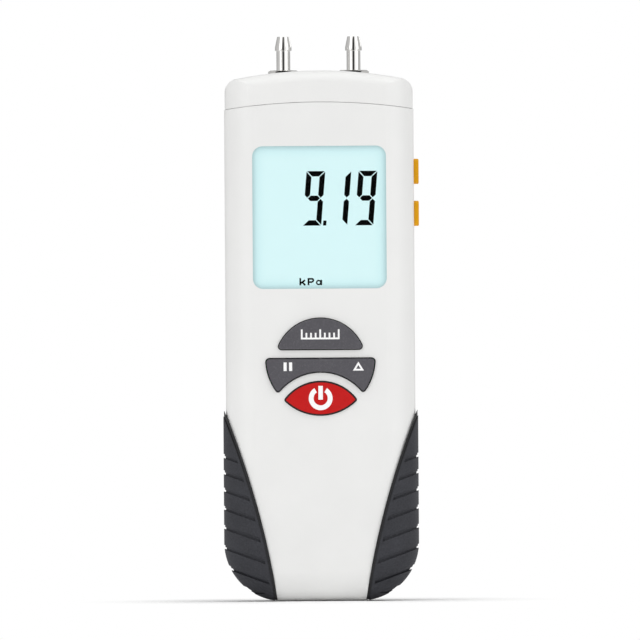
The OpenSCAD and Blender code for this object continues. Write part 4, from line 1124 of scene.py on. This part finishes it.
def add_cells(finishes):
    """The three cells: a film jacket with a pale band, a rolled edge at both ends and metal end caps."""
    order = [finishes["jacket"], finishes["jacket_band"], finishes["steel"], finishes["black"]]
    for number, (low, high) in enumerate(solids("battery_cells"), 1):
        middle = (low + high) / 2
        foot, way = (low.z, 1) if number == UPRIGHT_CELL else (high.z, -1)
        verts, faces, kinds = [], [], []
        for i, (radius, height, kind) in enumerate(CELL_PROFILE):
            z = foot + way * height * MM
            verts += [(middle.x + a, middle.y + b, z) for a, b in circle(radius * MM, CELL_SIDES)]
            if i:
                faces += band_faces(i - 1, CELL_SIDES)
                kinds += [kind] * CELL_SIDES
        mesh = bpy.data.meshes.new("cell")
        mesh.from_pydata(verts, [], faces)
        for polygon, kind in zip(mesh.polygons, kinds):
            polygon.material_index = kind
        add_piece(f"cell_{number}", cleaned(mesh), "housing", order, "cell_jacket", "battery_cells")


SPRING_STEPS = 36  # in each turn
SPRING_FLAT = 0.12  # share of the spring's length along its wire that lies flat at each end


def add_springs(finish):
    """Cone-shaped cell springs: a flat turn on the contact, an open cone and a flat turn on the cell."""
    wire, foot_r, tip_r, turns = 0.3 * MM, 3.7 * MM, 2.4 * MM, 2.5
    count = int(turns * SPRING_STEPS)
    pairs = zip(solids("battery_springs"), solids("battery_cells"))
    for number, ((low, high), (cell_low, cell_high)) in enumerate(pairs, 1):
        x, y = (cell_low.x + cell_high.x) / 2, (cell_low.y + cell_high.y) / 2
        start, way = (low.z, 1) if number == UPRIGHT_CELL else (high.z, -1)
        length = high.z - low.z - 2 * wire
        path = []
        for i in range(count + 1):
            t = i / count
            angle = 2 * math.pi * turns * t
            radius = foot_r + (tip_r - foot_r) * t
            height = wire + length * eased(min(max((t - SPRING_FLAT) / (1 - 2 * SPRING_FLAT), 0), 1))
            a, b = radius * math.cos(angle), radius * math.sin(angle)
            path.append((x + a, y + way * b, start + way * height))
        mesh = swept("spring", path, wire, 14)
        add_piece(f"cell_spring_{number}", mesh, "housing", finish, "steel", "battery_springs")


CHIP_INSET = 0.6 * MM  # of the body's sides, for the legs
LEG_PITCH = 0.8 * MM
LEG_END = 0.6 * MM  # from the chip's end to its outermost leg
LEG_HALF_T = 0.07 * MM
LEG_HALF_W = 0.15 * MM
LEG_PATH = [(CHIP_INSET / MM + 0.1, 0.55), (0.35, 0.55), (0.2, 0.1), (0, 0.1)]  # from the edge, off the board
BLOCK_FACES = [(0, 1, 2, 3), (7, 6, 5, 4), (0, 4, 5, 1), (1, 5, 6, 2), (2, 6, 7, 3), (3, 7, 4, 0)]


def leg_meshes(edge, side, board_y, z):
    """The straight parts of one bent leg, whose tip is at the chip's edge."""
    points = [Vector((edge - side * x * MM, board_y + y * MM, z)) for x, y in LEG_PATH]
    wide = Vector((0, 0, LEG_HALF_W))
    made = []
    for a, b in zip(points, points[1:]):
        normal = Vector((-(b - a).y, (b - a).x, 0)).normalized() * LEG_HALF_T
        corners = [a + normal + wide, a + normal - wide, a - normal - wide, a - normal + wide]
        corners += [c + (b - a) for c in corners]
        made.append(mesh_of("leg", corners, BLOCK_FACES))
    return made


def add_chips(body_finish, lead_finish):
    """The board's chips: rounded bodies with a pin-one dot and bent legs along two sides."""
    dot_profile = [(0, 0), (0.35 * MM, 0), (0.35 * MM, 0.3 * MM), (0, 0.3 * MM)]
    for number, (low, high) in enumerate(solids("board_chips"), 1):
        body_low = (low.x + CHIP_INSET, low.y + 0.12 * MM, low.z + 0.1 * MM)
        body_high = (high.x - CHIP_INSET, high.y, high.z - 0.1 * MM)
        body = rounded_box("chip", body_low, body_high, 0.12 * MM, 2)
        dot_place = (low.x + CHIP_INSET + 0.8 * MM, high.y - 0.06 * MM, high.z - 0.9 * MM)
        chip = carved(body, turned("dot", dot_profile, dot_place, axis="Y", sides=24))
        add_piece(f"chip_{number}", chip, "housing", body_finish, "black_plastic", "board_chips")
        count = max(2, int((high.z - low.z - LEG_PITCH) / LEG_PITCH))
        legs = []
        for side, edge in ((-1, low.x), (1, high.x)):
            for i in range(count):
                z = low.z + LEG_END + (high.z - low.z - 2 * LEG_END) * i / (count - 1)
                legs += leg_meshes(edge, side, low.y, z)
        add_piece(f"chip_legs_{number}", merged("legs", legs), "housing", lead_finish, "nickel_plate")


def main():
    bpy.context.scene.view_settings.view_transform = "Standard"
    add_camera()
    add_world()
    for lamp in LAMPS:
        add_area_light(*lamp)
    add_floor()
    finishes = make_finishes()
    for name, key in NODE_FINISH.items():
        dress_node(name, finishes[key])
    add_nuts(finishes["nickel"])
    add_screws("housing_screws", finishes["steel"], 1.6 * MM, 1.1 * MM)
    add_screws("board_screws", finishes["steel"], 0.9 * MM, 0.8 * MM)
    add_signs(finishes["print"])
    add_unit_mark(finishes["ink"])
    add_hoses(finishes["silicone"])
    add_key_mat(finishes["silicone"])
    add_door_pad(finishes["foam"])
    add_leads(finishes, finishes["steel"])
    add_cells(finishes)
    add_springs(finishes["steel"])
    add_chips(finishes["black"], finishes["nickel"])


main()
